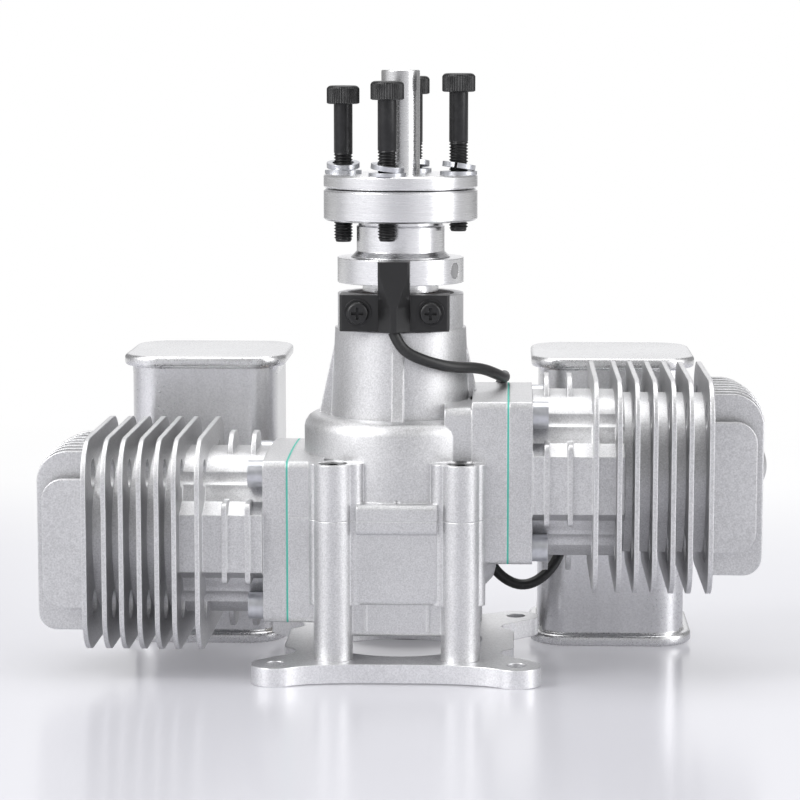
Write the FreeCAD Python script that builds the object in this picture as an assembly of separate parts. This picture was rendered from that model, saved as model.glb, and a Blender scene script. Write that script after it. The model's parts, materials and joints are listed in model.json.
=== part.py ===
"""Opposed twin-cylinder two-stroke model-aircraft engine on its four-column mount plate.

Frame: the crank axis is +Z, pointing to the propeller. The origin is on that axis, at the
underside of the mount plate. The cylinders lie along -X (lower) and +X (upper), and the
mufflers, plugs and carburettor are on the +Y side. All sizes are in millimetres.
"""
import FreeCAD, Part
import math
import os

V = FreeCAD.Vector
X, Y, Z = V(1, 0, 0), V(0, 1, 0), V(0, 0, 1)
SIDES = (-1, 1)
CORNERS = [(a, b) for a in SIDES for b in SIDES]

# Clearances
running = 0.05            # radial, shaft in bore
loose = 0.3               # between curved faces of different bodies
screw_play = 0.15         # radial, screw in a through hole

# Mount plate
plate_t = 4.8
ear_pitch = 61.3
ear_r = 6.2
ear_hole_r = 2.6
plate_half_y = 31.0
plate_waist_x = 26.6
tab_x = 30.0
tab_half_y = 11.5
plate_bore_r = 21.5

# Columns and case bolts
column_x = 16.3
column_y = 24.2
column_r = 5.0
boss_top = 55.4
boss_half_y = 2.9
boss_inner_x = 8.6
boss_outer_x = 22.6
boss_bottom = 19.0
m4_r = 2.0
m4_head_r = 3.5
m4_head_h = 4.0
m4_key_r = 1.6
bolt_seat_depth = 4.4
plate_thread_bottom = 1.0

# Crankcase
case_bottom = 10.1
split_z = 41.0
case_r = 25.2
case_wall = 2.8
chamber_r = case_r - case_wall
chamber_z0 = 23.5
chamber_z1 = 61.0
case_low_r = 21.6
case_low_top = 20.0
shoulder_z = 65.6
nose_foot_r = case_r - 7.1
nose_top_r = 17.1
nose_z = 88.1
ring_r = 16.4
ring_z = 97.0
pad_half_x = 10.2
pad_y = case_r + 1.0
pad_edge_r = 1.5
skirt_y = case_r - 0.6
pad_z0 = 19.0
band_y = case_r + 2.2
band_z0 = 37.3
band_z1 = 45.2
casting_line_x = 8.0
gusset_t = 3.0
gusset_foot_r = case_r - 4.0
gusset_top_z = 84.0
dowel_r = 1.2
dowel_half_len = 5.0
dowel_r_circle = case_r - 1.2

# Throw of the crank, rods between their pin centres, and the piston crowns at top dead centre
throw = 14.0
rod_len = 50.0
crown_over_pin = 15.0
crown_u = rod_len + throw + crown_over_pin

# Cylinders, along the outward axis u from the crank axis
left_axis_z = 34.4
right_axis_z = 50.0
case_flange_u = 28.0
case_block_u = 12.0
arm_step_u = 19.0
arm_root_half_y = 20.8
arm_root_half_z = 19.4
gasket_t = 0.5
flange_t = 6.0
flange_half_y = 22.0
flange_half_z = 21.5
flange_crown_r = 380.0
flange_corner_r = 2.5
spigot_len = 5.0
spigot_wall = 1.8
bore_r = 18.0
barrel_r = 20.9
bulge_half_w = 7.4
bulge_y = 24.5
bulge_root_half_w = 11.5
sleeve_half_y = 17.0
sleeve_half_z = 21.2
sleeve_corner_r = 12.0
sleeve_end_gap = 1.6
screw_y = 17.8
screw_w = 17.2
screw_depth = 6.0
rib_us = (38.1, 44.1)
rib_t = 1.3
rib_y = 25.6
rib_half_w = 10.5
rib_top = 25.8
rib_half_y = 8.5
rib_arch_r = 6.5
fin_us = [crown_u + du for du in (-28.6, -22.7, -18.3, -13.8, -9.2, -4.8, 0.3)]
fin_t = 1.2
fin_half_y = 31.0
fin_top = 26.8
fin_bottom = 28.1
fin_corner_r = 10.5
key_hole_r = 3.7
crown_gap = 0.8

# Head
head_u0 = crown_u + 0.9
head_core_u = crown_u + 9.5
head_core_r = 21.6
head_u1 = crown_u + 15.4
head_crown_r = 130.0
head_top = 22.8
head_bottom = 23.9
head_top_r = 8.0
head_bottom_r = 4.8
head_fin_t = 1.6
head_fin_pitch = 5.3
head_fin_count = 8
panel_y = 22.9
panel_t = 1.8
panel_u = crown_u + 12.3
panel_top = 16.2
panel_bottom = 17.4
panel_corner_r = 5.4
dome_r = 13.0
dome_h = 5.0

# Spark plug, along its own axis s from the electrode end
plug_u = crown_u + 6.0
plug_y = 1.0
plug_angle = 14.0
plug_thread_r = 5.0
plug_reach = 12.7
plug_seat_r = 8.0
plug_hex_af = 14.0
plug_room_r = 9.6
plug_len = 48.0

# Crank and rods
crank_pin_r = 4.5
needle_d = 1.5
big_end_r = 7.8
big_end_half_t = 4.0
web_r = chamber_r - 0.9
rear_web_z0 = 24.0
web_t = 6.0
shaft_r = 7.5
rear_journal_r = 6.0
hub_seat_r = 6.0
stud_r = 5.0
stud_foot_r = 5.4
stud_top = 154.6
key_w = 3.0
key_len = 12.0
key_lift = 3.0
key_depth = 1.6
key_stand = 1.4

# Piston
pin_r = 4.5
pin_bore_r = 2.6
pin_half_len = 14.5
skirt_under_pin = 12.0
piston_wall = 2.6
crown_t = 4.0
ring_t = 1.2
ring_depth = 0.8
small_end_r = 7.4
rod_t = 7.0
rod_w = 9.0

# Ball bearings: inner radius, outer radius, width, lower face, ball radius
rear_bearing = (rear_journal_r, 14.0, 8.0, 14.6, 2.38)
front_bearing = (shaft_r, 16.0, 9.0, 61.4, 2.38)
nose_bearing = (shaft_r, 14.0, 7.0, 85.6, 1.75)
race_share = 0.3
cage_share = 1.3
seal_t = 3.0

# Propeller end
hub_neck_r = 9.9
hub_z0 = 97.4
collar_r = 16.45
collar_z0 = 99.9
collar_z1 = 106.3
hub_flare_r = 12.9
hub_waist_r = 11.45
hub_flange_z0 = 115.95
hub_flange_z1 = 124.0
hub_flange_r = 20.0
washer_plate_z0 = 124.3
washer_plate_t = 3.5
prop_bolt_circle_r = 15.34
prop_bolt_turn = 10.48
m5_r = 2.45
m5_head_r = 4.27
m5_head_h = 4.8
m5_key_r = 2.3
prop_bolt_len = 35.8
under_heads = (145.8, 147.1, 149.0, 148.2)
flat_washer_t = 0.9
flat_washer_r = 4.8
spring_washer_t = 1.3
spring_washer_r = 4.3
magnet_r = 2.0
magnet_len = 3.0
magnet_angle = -29.2
magnet_z = 103.3

# Timing sensor
sensor_x = -0.9
sensor_half_x = 14.0
sensor_z0 = 88.5
sensor_z1 = 97.8
sensor_y = 18.3
sensor_post_half_x = 4.05
sensor_post_y = 22.4
sensor_post_z1 = 106.5
sensor_sections = ((sensor_z0, 3.3), (94.5, 3.3), (103.0, 0.5), (sensor_post_z1, 0.5))
sensor_screw_dx = 9.3
sensor_screw_z = 93.3
sensor_screw_end = 12.7
m3_r = 1.5
m3_head_r = 2.85
m3_head_h = 2.0
m3_washer_r = 3.5
m3_washer_t = 0.6

# Mufflers
muffler_u = 57.6
muffler_w = 41.2
muffler_y0 = 47.5
muffler_depth = 41.5
muffler_z0 = -7.0
muffler_z1 = 74.7
muffler_cap_t = 3.0
muffler_cap_over = 2.3
muffler_wall = 1.2
muffler_corner_r = 8.0
stub_y = 40.0
stub_flange_t = 5.0
stub_half_u = 15.0
stub_half_w = 10.0
port_half_u = 7.0
port_half_w = 7.0
muffler_screw_du = 10.8
tube_r = 4.8
outlet_r = 6.0
outlet_len = 12.0
outlet_z = 12.0

# Intake
intake_z = 28.5
intake_pad_y = 30.0
intake_pad_half_x = 19.0
intake_pad_half_z = 12.2
reed_t = 7.0
reed_port_half_x = 10.0
reed_half_x = 14.9
reed_cage_half_x = reed_port_half_x - 0.6
reed_cage_wall = 1.8
insulator_t = 5.5
insulator_half_x = 14.5
carb_len = 31.0
carb_half_x = 14.5
carb_half_z = 13.5
carb_bore_r = 8.0
throttle_dy = 6.0
choke_dy = 22.5
valve_shaft_r = 2.0
valve_disc_t = 1.0
carb_screw_x = 10.3
carb_screw_z = 8.6
carb_screw_sink = 4.2
arm_t = 2.0
throttle_arm_len = 12.0
choke_lever_len = 9.5
needle_z = -8.5
needle_dys = (9.5, 15.0)
needle_r = 1.6
cover_t = 3.0
cover_screw_r = 0.95
cover_screw_x = 10.5
cover_screw_dy = 8.0
cover_screw_depth = 2.6
nipple_root = 4.0
nipple_len = 9.0
nipple_stem_r = 1.5
nipple_bore_r = 0.8
nipple_barb_r = 2.3
nipple_barb_len = 2.5
nipple_barb_at = 6.0
nipple_collar_r = 2.6
nipple_collar_len = 2.0

# Timing sensor's lead: a free cord of 2.9 mm, with its route from the sensor to the coil
lead_d = 2.9
lead_route = [
    (-1.0, -20.0, 88.5), (0.6, -20.6, 84.4), (5.8, -20.4, 81.6), (13.4, -17.0, 79.2),
    (20.8, -9.4, 78.4), (25.4, -0.4, 75.6), (27.4, 9.0, 73.4), (27.0, 20.0, 73.4),
    (25.4, 28.8, 67.0),
    (23.2, 29.8, 54.0), (21.4, 29.5, 40.5), (21.0, 29.2, 28.0), (24.2, 29.1, 17.4),
    (33.0, 29.6, 12.4), (41.6, 32.4, 18.2), (44.6, 38.0, 28.2), (39.8, 43.0, 36.6),
    (30.2, 44.6, 40.0), (22.4, 43.6, 33.2), (19.8, 42.4, 21.4), (19.4, 42.0, 9.0),
    (18.6, 46.6, -1.6), (17.6, 56.4, -6.2), (17.45, 65.0, -7.04),
]
coil_centre = (0.0, 71.0)
coil_r = 16.0
coil_turns = 2
tail_route = [(-12.6, 4.4), (-13.0, 0.4), (-10.2, -3.0), (-4.6, -3.2)]
connector_x0 = -5.2
connector_dy = -3.2
connector_len = 13.6
connector_w = 7.6
pin_pitch = 2.54
pin_depth = 6.0
floor_slope = 0.0843      # the engine stands on its two front ears and the muffler caps
floor_y0 = 36.85


def part(name, *solids):
    """Write one node: a single solid, or a group of separate solids."""
    shape = solids[0] if len(solids) == 1 else Part.makeCompound(list(solids))
    shape.exportStep("parts/" + name + ".step")
    print(name, len(shape.Solids), round(shape.Volume, 1), shape.isValid())


def rod(radius, start, direction, length):
    return Part.makeCylinder(radius, length, V(*start), V(direction))


def post(radius, x, y, z0, z1):
    return Part.makeCylinder(radius, z1 - z0, V(x, y, z0))


def tube(outer, inner, x, y, z0, z1):
    return post(outer, x, y, z0, z1).cut(post(inner, x, y, z0, z1))


def block(x0, x1, y0, y1, z0, z1):
    return Part.makeBox(x1 - x0, y1 - y0, z1 - z0, V(x0, y0, z0))


def rounded_block(x0, x1, y0, y1, z0, z1, radius, axis=Z):
    """A block whose four edges along one axis are rounded."""
    solid = block(x0, x1, y0, y1, z0, z1)
    edges = []
    for edge in solid.Edges:
        run = edge.Vertexes[1].Point - edge.Vertexes[0].Point
        if run.cross(axis).Length < 1e-6:
            edges.append(edge)
    return solid.makeFillet(radius, edges)


def turned(profile, base=V(0, 0, 0)):
    """A closed profile of (radius, z) points turned about the Z axis."""
    points = [V(r, 0, z) + base for r, z in profile]
    face = Part.Face(Part.makePolygon(points + points[:1]))
    return face.revolve(base, Z, 360)


def extruded(points, direction):
    """A closed flat polygon of (x, y, z) points pushed along a vector."""
    corners = [V(*p) for p in points]
    return Part.Face(Part.makePolygon(corners + corners[:1])).extrude(direction)


def fuse(solids):
    return solids[0].multiFuse(solids[1:]).removeSplitter()


def one(shape):
    """The single solid inside a result of a Boolean."""
    return shape.Solids[0]


def hexagon(flats, start, direction, length):
    """A hexagonal prism along a direction, measured across its flats."""
    radius = flats / math.sqrt(3)
    points = [V(radius * math.cos(math.radians(60 * i)), radius * math.sin(math.radians(60 * i)), 0)
              for i in range(7)]
    prism = Part.Face(Part.makePolygon(points)).extrude(V(0, 0, length))
    prism.Placement = FreeCAD.Placement(V(*start), FreeCAD.Rotation(Z, V(direction)))
    return prism


def cap_screw(seat, direction, length, shank_r, head_r, head_h, key_r):
    """A socket cap screw: the head rises from the seat, the shank goes the other way."""
    direction = V(direction)
    back = direction * -1
    head = rod(head_r, seat, direction, head_h)
    shank = rod(shank_r, seat, back, length)
    socket_at = V(*seat) + direction * (head_h / 2)
    socket = hexagon(key_r * math.sqrt(3), tuple(socket_at), direction, head_h)
    return one(head.fuse(shank).removeSplitter().cut(socket))


def mirrored(shape, side):
    """The shape itself on the right, or its mirror image on the left."""
    return shape if side > 0 else shape.mirror(V(0, 0, 0), X)


def placed(shape, side):
    """A cylinder-side shape, made on the +X axis at z = 0, at its place in the engine."""
    moved = mirrored(shape, side)
    moved.translate(V(0, 0, left_axis_z if side < 0 else right_axis_z))
    return moved


def crowned_section(u0, u1):
    """The cylinder flange's section: flat sides in Y, slightly bowed above and below."""
    body = rounded_block(u0, u1, -flange_half_y, flange_half_y, -flange_half_z, flange_half_z,
                         flange_corner_r, X)
    for side in SIDES:
        centre = side * (flange_half_z - flange_crown_r)
        body = body.common(rod(flange_crown_r, (u0, 0, centre), X, u1 - u0))
    return body


def screw_places():
    return [(a * screw_y, b * screw_w) for a, b in CORNERS]


# Mount plate

def mount_plate():
    half = ear_pitch / 2
    reach = ear_r / math.sqrt(2)
    quarter = [
        (0, plate_half_y), (8, plate_half_y), (13, plate_half_y + 0.3), (18, plate_half_y + 1.1),
        (half - reach - 3.5, plate_half_y + 2.2), (half - reach, half + reach),
        (half + reach, half - reach), (plate_waist_x + 0.6, 18.5), (plate_waist_x, 15.5),
        (plate_waist_x + 0.8, 13.4), (tab_x - 0.6, tab_half_y), (tab_x, tab_half_y - 1.5),
        (tab_x, 0),
    ]
    quarter += [(0, 0)]
    solids = []
    for a, b in CORNERS:
        solids.append(extruded([(a * x, b * y, 0) for x, y in quarter], V(0, 0, plate_t)))
        solids.append(post(ear_r, a * half, b * half, 0, plate_t))
    plate = fuse(solids)
    holes = [post(plate_bore_r, 0, 0, 0, plate_t)]
    for a, b in CORNERS:
        holes.append(post(ear_hole_r, a * half, b * half, 0, plate_t))
        holes.append(post(m4_r, a * column_x, b * column_y, 0, plate_t))
    return one(plate.cut(Part.makeCompound(holes)))


# Crankcase

def case_outside():
    shell = turned([
        (0, case_bottom), (case_low_r - 1.5, case_bottom), (case_low_r, case_bottom + 1.5),
        (case_low_r, case_low_top), (case_low_r + 1.6, case_low_top + 0.8),
        (case_r - 0.6, case_low_top + 2.4), (case_r, case_low_top + 4.6),
        (case_r, shoulder_z - 3.6), (case_r - 0.3, shoulder_z - 2.3),
        (case_r - 1.1, shoulder_z - 1.0), (case_r - 2.2, shoulder_z - 0.3),
        (case_r - 3.6, shoulder_z),
        (nose_foot_r + 1.6, shoulder_z), (nose_foot_r + 0.9, shoulder_z - 0.6),
        (nose_foot_r, shoulder_z - 0.6),
        (nose_top_r, nose_z), (ring_r, nose_z), (ring_r, ring_z), (0, ring_z),
    ])
    solids = [shell]
    for side in SIDES:
        solids.append(placed(crowned_section(arm_step_u, case_flange_u), side))
        solids.append(placed(rounded_block(case_block_u, arm_step_u, -arm_root_half_y,
                                           arm_root_half_y, -arm_root_half_z,
                                           arm_root_half_z, flange_corner_r, X), side))
    for a, b in CORNERS:
        solids.append(post(column_r, a * column_x, b * column_y, plate_t, boss_top))
        x0, x1 = sorted((a * boss_inner_x, a * boss_outer_x))
        y = b * (column_y - 0.8)
        solids.append(rounded_block(x0, x1, y - boss_half_y, y + boss_half_y,
                                    boss_bottom, boss_top, boss_half_y - 0.1))
    solids.append(rounded_block(-pad_half_x, pad_half_x, -pad_y, 0, pad_z0, band_z0 + 3,
                                pad_edge_r, X))
    solids.append(rounded_block(-pad_half_x, pad_half_x, -band_y, 0, band_z0, band_z1,
                                pad_edge_r, X))
    skirt_bottom = case_bottom + 0.4
    solids.append(rounded_block(-column_x, column_x, -skirt_y, -case_low_r / 2, skirt_bottom,
                                pad_z0 + 3, pad_edge_r, X))
    for side in SIDES:
        x = side * casting_line_x
        solids.append(block(x - 0.4, x + 0.4, -skirt_y - 0.4, -case_low_r / 2,
                            skirt_bottom + pad_edge_r, pad_z0 + 1))
    for turn in range(4):
        gusset = extruded([
            (0, 0, shoulder_z - 1), (gusset_foot_r, 0, shoulder_z - 1),
            (gusset_foot_r, 0, shoulder_z), (nose_top_r, 0, gusset_top_z), (0, 0, gusset_top_z),
        ], V(0, gusset_t, 0))
        gusset.translate(V(0, -gusset_t / 2, 0))
        gusset.rotate(V(0, 0, 0), Z, 90 * turn)
        solids.append(gusset)
    solids.append(block(-intake_pad_half_x, intake_pad_half_x, 0, intake_pad_y,
                        intake_z - intake_pad_half_z, intake_z + intake_pad_half_z))
    return fuse(solids)


def case_inside():
    holes = [
        post(chamber_r, 0, 0, chamber_z0, chamber_z1),
        post(rear_bearing[1], 0, 0, rear_bearing[3], chamber_z0),
        post(rear_bearing[1] - 2.5, 0, 0, rear_bearing[3] - 1.5, rear_bearing[3]),
        post(front_bearing[1], 0, 0, chamber_z1, front_bearing[3] + front_bearing[2]),
        post(shaft_r + 1.5, 0, 0, chamber_z1, ring_z),
        post(nose_bearing[1], 0, 0, nose_bearing[3], ring_z),
    ]
    for side in SIDES:
        opening = rod(bore_r + spigot_wall + running, (chamber_r - 4, 0, 0), X,
                      case_flange_u - chamber_r + 4)
        holes.append(placed(opening, side))
        for y, w in screw_places():
            thread = rod(m4_r, (case_flange_u - screw_depth, y, w), X, screw_depth)
            holes.append(placed(thread, side))
    for a, b in CORNERS:
        x, y = a * column_x, b * column_y
        holes.append(post(m4_r + screw_play, x, y, plate_t, boss_top))
        holes.append(post(m4_head_r + 0.2, x, y, boss_top - bolt_seat_depth, boss_top))
    for side in SIDES:
        holes.append(post(dowel_r, 0, side * dowel_r_circle,
                          split_z - dowel_half_len, split_z + dowel_half_len))
        holes.append(rod(m3_r, (sensor_x + side * sensor_screw_dx, -ring_r - 1, sensor_screw_z),
                         Y, ring_r + 1 - sensor_screw_end))
        holes.append(rod(m4_r, (side * carb_screw_x, intake_pad_y - 6, intake_z - side * carb_screw_z),
                         Y, 6))
    holes.append(block(-reed_port_half_x, reed_port_half_x, chamber_r - 4, intake_pad_y,
                       intake_z - 4.8, intake_z + 8))
    return Part.makeCompound(holes)


def case_halves():
    case = case_outside().cut(case_inside())
    size = 200
    below = block(-size, size, -size, size, -size, split_z)
    above = block(-size, size, -size, size, split_z, size)
    return one(case.common(below)), one(case.common(above))


def case_bolts():
    seat = boss_top - bolt_seat_depth
    length = seat - plate_thread_bottom
    return [cap_screw((a * column_x, b * column_y, seat), Z, length, m4_r, m4_head_r,
                      m4_head_h, m4_key_r) for a, b in CORNERS]


# Cylinders

def transfer_bulge(u0, u1, side):
    """The bulge over a transfer passage on the near or far side of a barrel."""
    y = side * bulge_y
    return extruded([(u0, 0, -bulge_root_half_w - 3), (u0, side * barrel_r * 0.7, -bulge_root_half_w),
                     (u0, y, -bulge_half_w), (u0, y, bulge_half_w),
                     (u0, side * barrel_r * 0.7, bulge_root_half_w), (u0, 0, bulge_root_half_w + 3)],
                    V(u1 - u0, 0, 0))


def sleeve(u0, u1):
    """The squarish casting round a barrel between its flange and the second fin."""
    return rounded_block(u0, u1, -sleeve_half_y, sleeve_half_y, -sleeve_half_z, sleeve_half_z,
                         sleeve_corner_r, X)


def fin(u):
    return rounded_block(u - fin_t / 2, u + fin_t / 2, -fin_half_y, fin_half_y,
                         -fin_bottom, fin_top, fin_corner_r, X)


def rib(u):
    u0, u1 = u - rib_t / 2, u + rib_t / 2
    across = rounded_block(u0, u1, -rib_y, rib_y, -rib_half_w, rib_half_w, 1.5, X)
    upright = rounded_block(u0, u1, -rib_half_y, rib_half_y, -rib_top, rib_top, rib_arch_r, X)
    return across.fuse(upright)


def head_fin_places():
    first = -head_fin_pitch * (head_fin_count - 1) / 2 + 1.0
    return [first + head_fin_pitch * i for i in range(head_fin_count)]


def outer_corner(plate, u, top):
    """A plate's outer edge along Y, at its top or at its bottom."""
    edges = [e for e in plate.Edges
             if abs(e.BoundBox.XMin - u) < 1e-6 and e.BoundBox.XLength < 1e-6
             and e.BoundBox.ZLength < 1e-6 and (e.BoundBox.ZMin > 0) == top]
    return edges


def head_fin(y):
    """One upright head fin, rounded more at its top corner; the fins' ends follow a crown."""
    u1 = head_u1 - head_crown_r + math.sqrt(head_crown_r ** 2 - y ** 2)
    plate = block(head_u0, u1, y - head_fin_t / 2, y + head_fin_t / 2, -head_bottom, head_top)
    plate = plate.makeFillet(head_top_r, outer_corner(plate, u1, True))
    return plate.makeFillet(head_bottom_r, outer_corner(plate, u1, False))


def plug_line(s):
    """A point on the spark plug's axis, at the distance s from its electrode end."""
    turn = math.radians(plug_angle)
    return (plug_u + s * math.sin(turn), plug_y + s * math.cos(turn), 0)


def plug_direction():
    turn = math.radians(plug_angle)
    return V(math.sin(turn), math.cos(turn), 0)


def cylinder():
    """One cylinder with its head, made on the +X axis."""
    u0 = case_flange_u + gasket_t
    foot = u0 + flange_t
    solids = [crowned_section(u0, foot)]
    solids.append(rod(bore_r + spigot_wall, (u0 - spigot_len, 0, 0), X, spigot_len))
    solids.append(rod(barrel_r, (foot, 0, 0), X, head_u0 - foot))
    sleeve_end = fin_us[1] + sleeve_end_gap
    solids += [transfer_bulge(foot, sleeve_end, side) for side in SIDES]
    solids.append(sleeve(foot, sleeve_end))
    solids += [rib(u) for u in rib_us]
    solids += [fin(u) for u in fin_us]
    solids.append(rod(head_core_r, (head_u0, 0, 0), X, head_core_u - head_u0))
    solids += [head_fin(y) for y in head_fin_places()]
    panel = block(head_u0, panel_u, -panel_y, -panel_y + panel_t, -panel_bottom, panel_top)
    corners = outer_corner(panel, panel_u, True) + outer_corner(panel, panel_u, False)
    solids.append(panel.makeFillet(panel_corner_r, corners))
    mu = muffler_u
    solids.append(block(mu - stub_half_u + 2, mu + stub_half_u - 2, 0, stub_y, -stub_half_w + 1,
                        stub_half_w - 1))
    solids.append(rounded_block(mu - stub_half_u, mu + stub_half_u, stub_y - stub_flange_t, stub_y,
                                -stub_half_w, stub_half_w, 3.0, Y))
    seat = plug_line(plug_reach)
    solids.append(rod(plug_seat_r + 1.2, plug_line(2), plug_direction(), plug_reach - 2))
    body = fuse(solids)
    top = crown_u + crown_gap
    holes = [rod(bore_r, (u0 - spigot_len, 0, 0), X, top - u0 + spigot_len)]
    dome = Part.makeCone(dome_r, dome_r * 0.4, dome_h, V(top, 0, 0), X)
    holes.append(dome)
    for y, w in screw_places():
        holes.append(rod(m4_r + screw_play, (u0, y, w), X, flange_t))
        holes.append(rod(key_hole_r, (foot, y, w), X, head_u0 - foot))
    holes.append(rod(plug_thread_r, plug_line(0), plug_direction(), plug_reach))
    holes.append(rod(plug_room_r, seat, plug_direction(), plug_len))
    holes.append(block(mu - port_half_u, mu + port_half_u, bore_r - 4, stub_y, -port_half_w,
                       port_half_w))
    for a in SIDES:
        holes.append(rod(m4_r, (mu + a * muffler_screw_du, stub_y - 9, 0), Y, 9))
    holes.append(block(u0 + 1, fin_us[1] - 3, -bulge_y + 3.0, -bore_r + 3, -4.5, 4.5))
    return one(body.cut(Part.makeCompound(holes)))


def base_gasket():
    u0 = case_flange_u
    sheet = crowned_section(u0, u0 + gasket_t)
    holes = [rod(bore_r + spigot_wall, (u0, 0, 0), X, gasket_t)]
    holes += [rod(m4_r + screw_play, (u0, y, w), X, gasket_t) for y, w in screw_places()]
    return one(sheet.cut(Part.makeCompound(holes)))


def cylinder_screws(side):
    foot = case_flange_u + gasket_t + flange_t
    length = flange_t + gasket_t + screw_depth - 0.5
    screws = []
    for y, w in screw_places():
        screw = cap_screw((foot, y, w), X, length, m4_r, m4_head_r, m4_head_h, m4_key_r)
        screws.append(placed(screw, side))
    return screws


# Pistons and rods, at top dead centre

def piston():
    crown = crown_u
    pin_u = rod_len + throw
    skirt = pin_u - skirt_under_pin
    radius = bore_r - running
    body = rod(radius, (skirt, 0, 0), X, crown - skirt)
    inner = rod(radius - piston_wall, (skirt, 0, 0), X, crown - skirt - crown_t)
    body = body.cut(inner)
    for side in SIDES:
        z0 = rod_t / 2 + 0.4 if side > 0 else -radius + 0.6
        z1 = radius - 0.6 if side > 0 else -rod_t / 2 - 0.4
        body = body.fuse(post(small_end_r, pin_u, 0, z0, z1))
    body = body.common(rod(radius, (skirt, 0, 0), X, crown - skirt))
    body = body.cut(post(pin_r, pin_u, 0, -bore_r, bore_r))
    for groove in ring_places():
        body = body.cut(rod(radius + 1, (groove, 0, 0), X, ring_t).cut(
            rod(radius - ring_depth, (groove, 0, 0), X, ring_t)))
    return one(body)


def ring_places():
    crown = crown_u
    return (crown - 3.2, crown - 6.4)


def piston_rings():
    rings = []
    for at in ring_places():
        band = rod(bore_r, (at, 0, 0), X, ring_t).cut(
            rod(bore_r - running - ring_depth, (at, 0, 0), X, ring_t))
        rings.append(one(band.cut(block(at, at + ring_t, -bore_r - 1, -bore_r + 3, -0.2, 0.2))))
    return rings


def connecting_rod():
    """The rod's shank and small end; its big end is a piece of the crank's group."""
    pin_u = rod_len + throw
    swept = throw + big_end_r + loose
    half = rod_t / 2
    shank = block(swept - 2, pin_u, -rod_w / 2, rod_w / 2, -half, half)
    eye = post(small_end_r, pin_u, 0, -half, half)
    body = shank.fuse(eye).cut(post(pin_r + running, pin_u, 0, -half, half))
    for side in SIDES:
        z0 = side * (half - 1.8) if side > 0 else -half
        pocket = rounded_block(swept + 5, pin_u - small_end_r - 3, -rod_w / 4, rod_w / 4,
                               z0, z0 + 1.8, 1.5)
        body = body.cut(pocket)
    return one(body.cut(post(swept, 0, 0, -half, half)))


def wrist_pin():
    return tube(pin_r, pin_bore_r, rod_len + throw, 0, -pin_half_len, pin_half_len)


def pin_clips():
    pin_u = rod_len + throw
    clips = []
    for side in SIDES:
        z0 = pin_half_len if side > 0 else -pin_half_len - 0.9
        ring = tube(pin_r, pin_r - 0.9, pin_u, 0, z0, z0 + 0.9)
        clips.append(one(ring.cut(block(pin_u, pin_u + pin_r + 1, -0.8, 0.8, z0, z0 + 0.9))))
    return clips


# Crankshaft

def crank_levels():
    """Lower and upper faces of the rear, centre and front webs."""
    rear = (rear_web_z0, rear_web_z0 + web_t)
    centre = (left_axis_z + big_end_half_t + 0.2, right_axis_z - big_end_half_t - 0.2)
    front_z0 = right_axis_z + big_end_half_t + 0.4
    return rear, centre, (front_z0, front_z0 + web_t)


def web(levels, pin_side):
    """A web disc with its pin side narrowed to leave the counterweight opposite."""
    z0, z1 = levels
    disc = post(web_r, 0, 0, z0, z1)
    if pin_side:
        for b in SIDES:
            x0, x1 = sorted((pin_side * 4.0, pin_side * web_r * 1.1))
            y0, y1 = sorted((b * 12.0, b * web_r * 1.1))
            disc = disc.cut(block(x0, x1, y0, y1, z0, z1))
    return disc


def crank_rear():
    rear, centre, front = crank_levels()
    body = web(rear, -1).cut(post(crank_pin_r, -throw, 0, rear[0], rear[1]))
    journal = post(rear_journal_r, 0, 0, rear_bearing[3] - 0.8, rear[0])
    return one(body.fuse(journal).removeSplitter())


def crank_centre():
    """The centre web with both crank pins."""
    rear, centre, front = crank_levels()
    body = web(centre, 0)
    left = post(crank_pin_r, -throw, 0, rear[0], centre[0])
    right = post(crank_pin_r, throw, 0, centre[1], front[1])
    return one(body.fuse(left).fuse(right).removeSplitter())


def crank_front():
    """The front web with the propeller shaft, its hub seat and its centring stud."""
    rear, centre, front = crank_levels()
    body = web(front, 1).cut(post(crank_pin_r, throw, 0, front[0], front[1]))
    shaft = post(shaft_r, 0, 0, front[1], hub_z0)
    seat = post(hub_seat_r, 0, 0, hub_z0, hub_flange_z0)
    foot = post(stud_foot_r, 0, 0, hub_flange_z0, washer_plate_z0 + washer_plate_t)
    stud = post(stud_r, 0, 0, hub_flange_z0, stud_top).fuse(foot)
    tip = Part.makeCone(stud_r + 0.6, stud_r - 0.2, 0.8, V(0, 0, stud_top - 0.8))
    body = body.fuse(shaft).fuse(seat).fuse(stud).removeSplitter()
    body = body.cut(post(stud_r + 1, 0, 0, stud_top - 0.8, stud_top).cut(tip))
    return one(body.cut(key_block()))


def key_block():
    z0 = hub_z0 + key_lift
    return block(hub_seat_r - key_depth, hub_seat_r + key_stand, -key_w / 2, key_w / 2,
                 z0, z0 + key_len)


def big_ends():
    """The eyes of both rods' big ends, which turn with the crank pins."""
    eyes = []
    for side, level in ((-1, left_axis_z), (1, right_axis_z)):
        eyes.append(tube(big_end_r, crank_pin_r + needle_d, side * throw, 0,
                         level - big_end_half_t, level + big_end_half_t))
    return eyes


def big_end_needles():
    needles = []
    count = 10
    circle = crank_pin_r + needle_d / 2
    for side, level in ((-1, left_axis_z), (1, right_axis_z)):
        for i in range(count):
            turn = 2 * math.pi * i / count
            needles.append(post(needle_d / 2 - 0.02, side * throw + circle * math.cos(turn),
                                circle * math.sin(turn), level - 3.4, level + 3.4))
    return needles


# Ball bearings

def race_circle(bearing):
    return (bearing[0] + bearing[1]) / 2


def race_groove(bearing):
    middle = bearing[3] + bearing[2] / 2
    return Part.makeTorus(race_circle(bearing), bearing[4] + running, V(0, 0, middle))


def outer_race(bearing):
    inner_face = bearing[1] - (bearing[1] - bearing[0]) * race_share
    ring = tube(bearing[1], inner_face, 0, 0, bearing[3], bearing[3] + bearing[2])
    return one(ring.cut(race_groove(bearing)))


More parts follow.
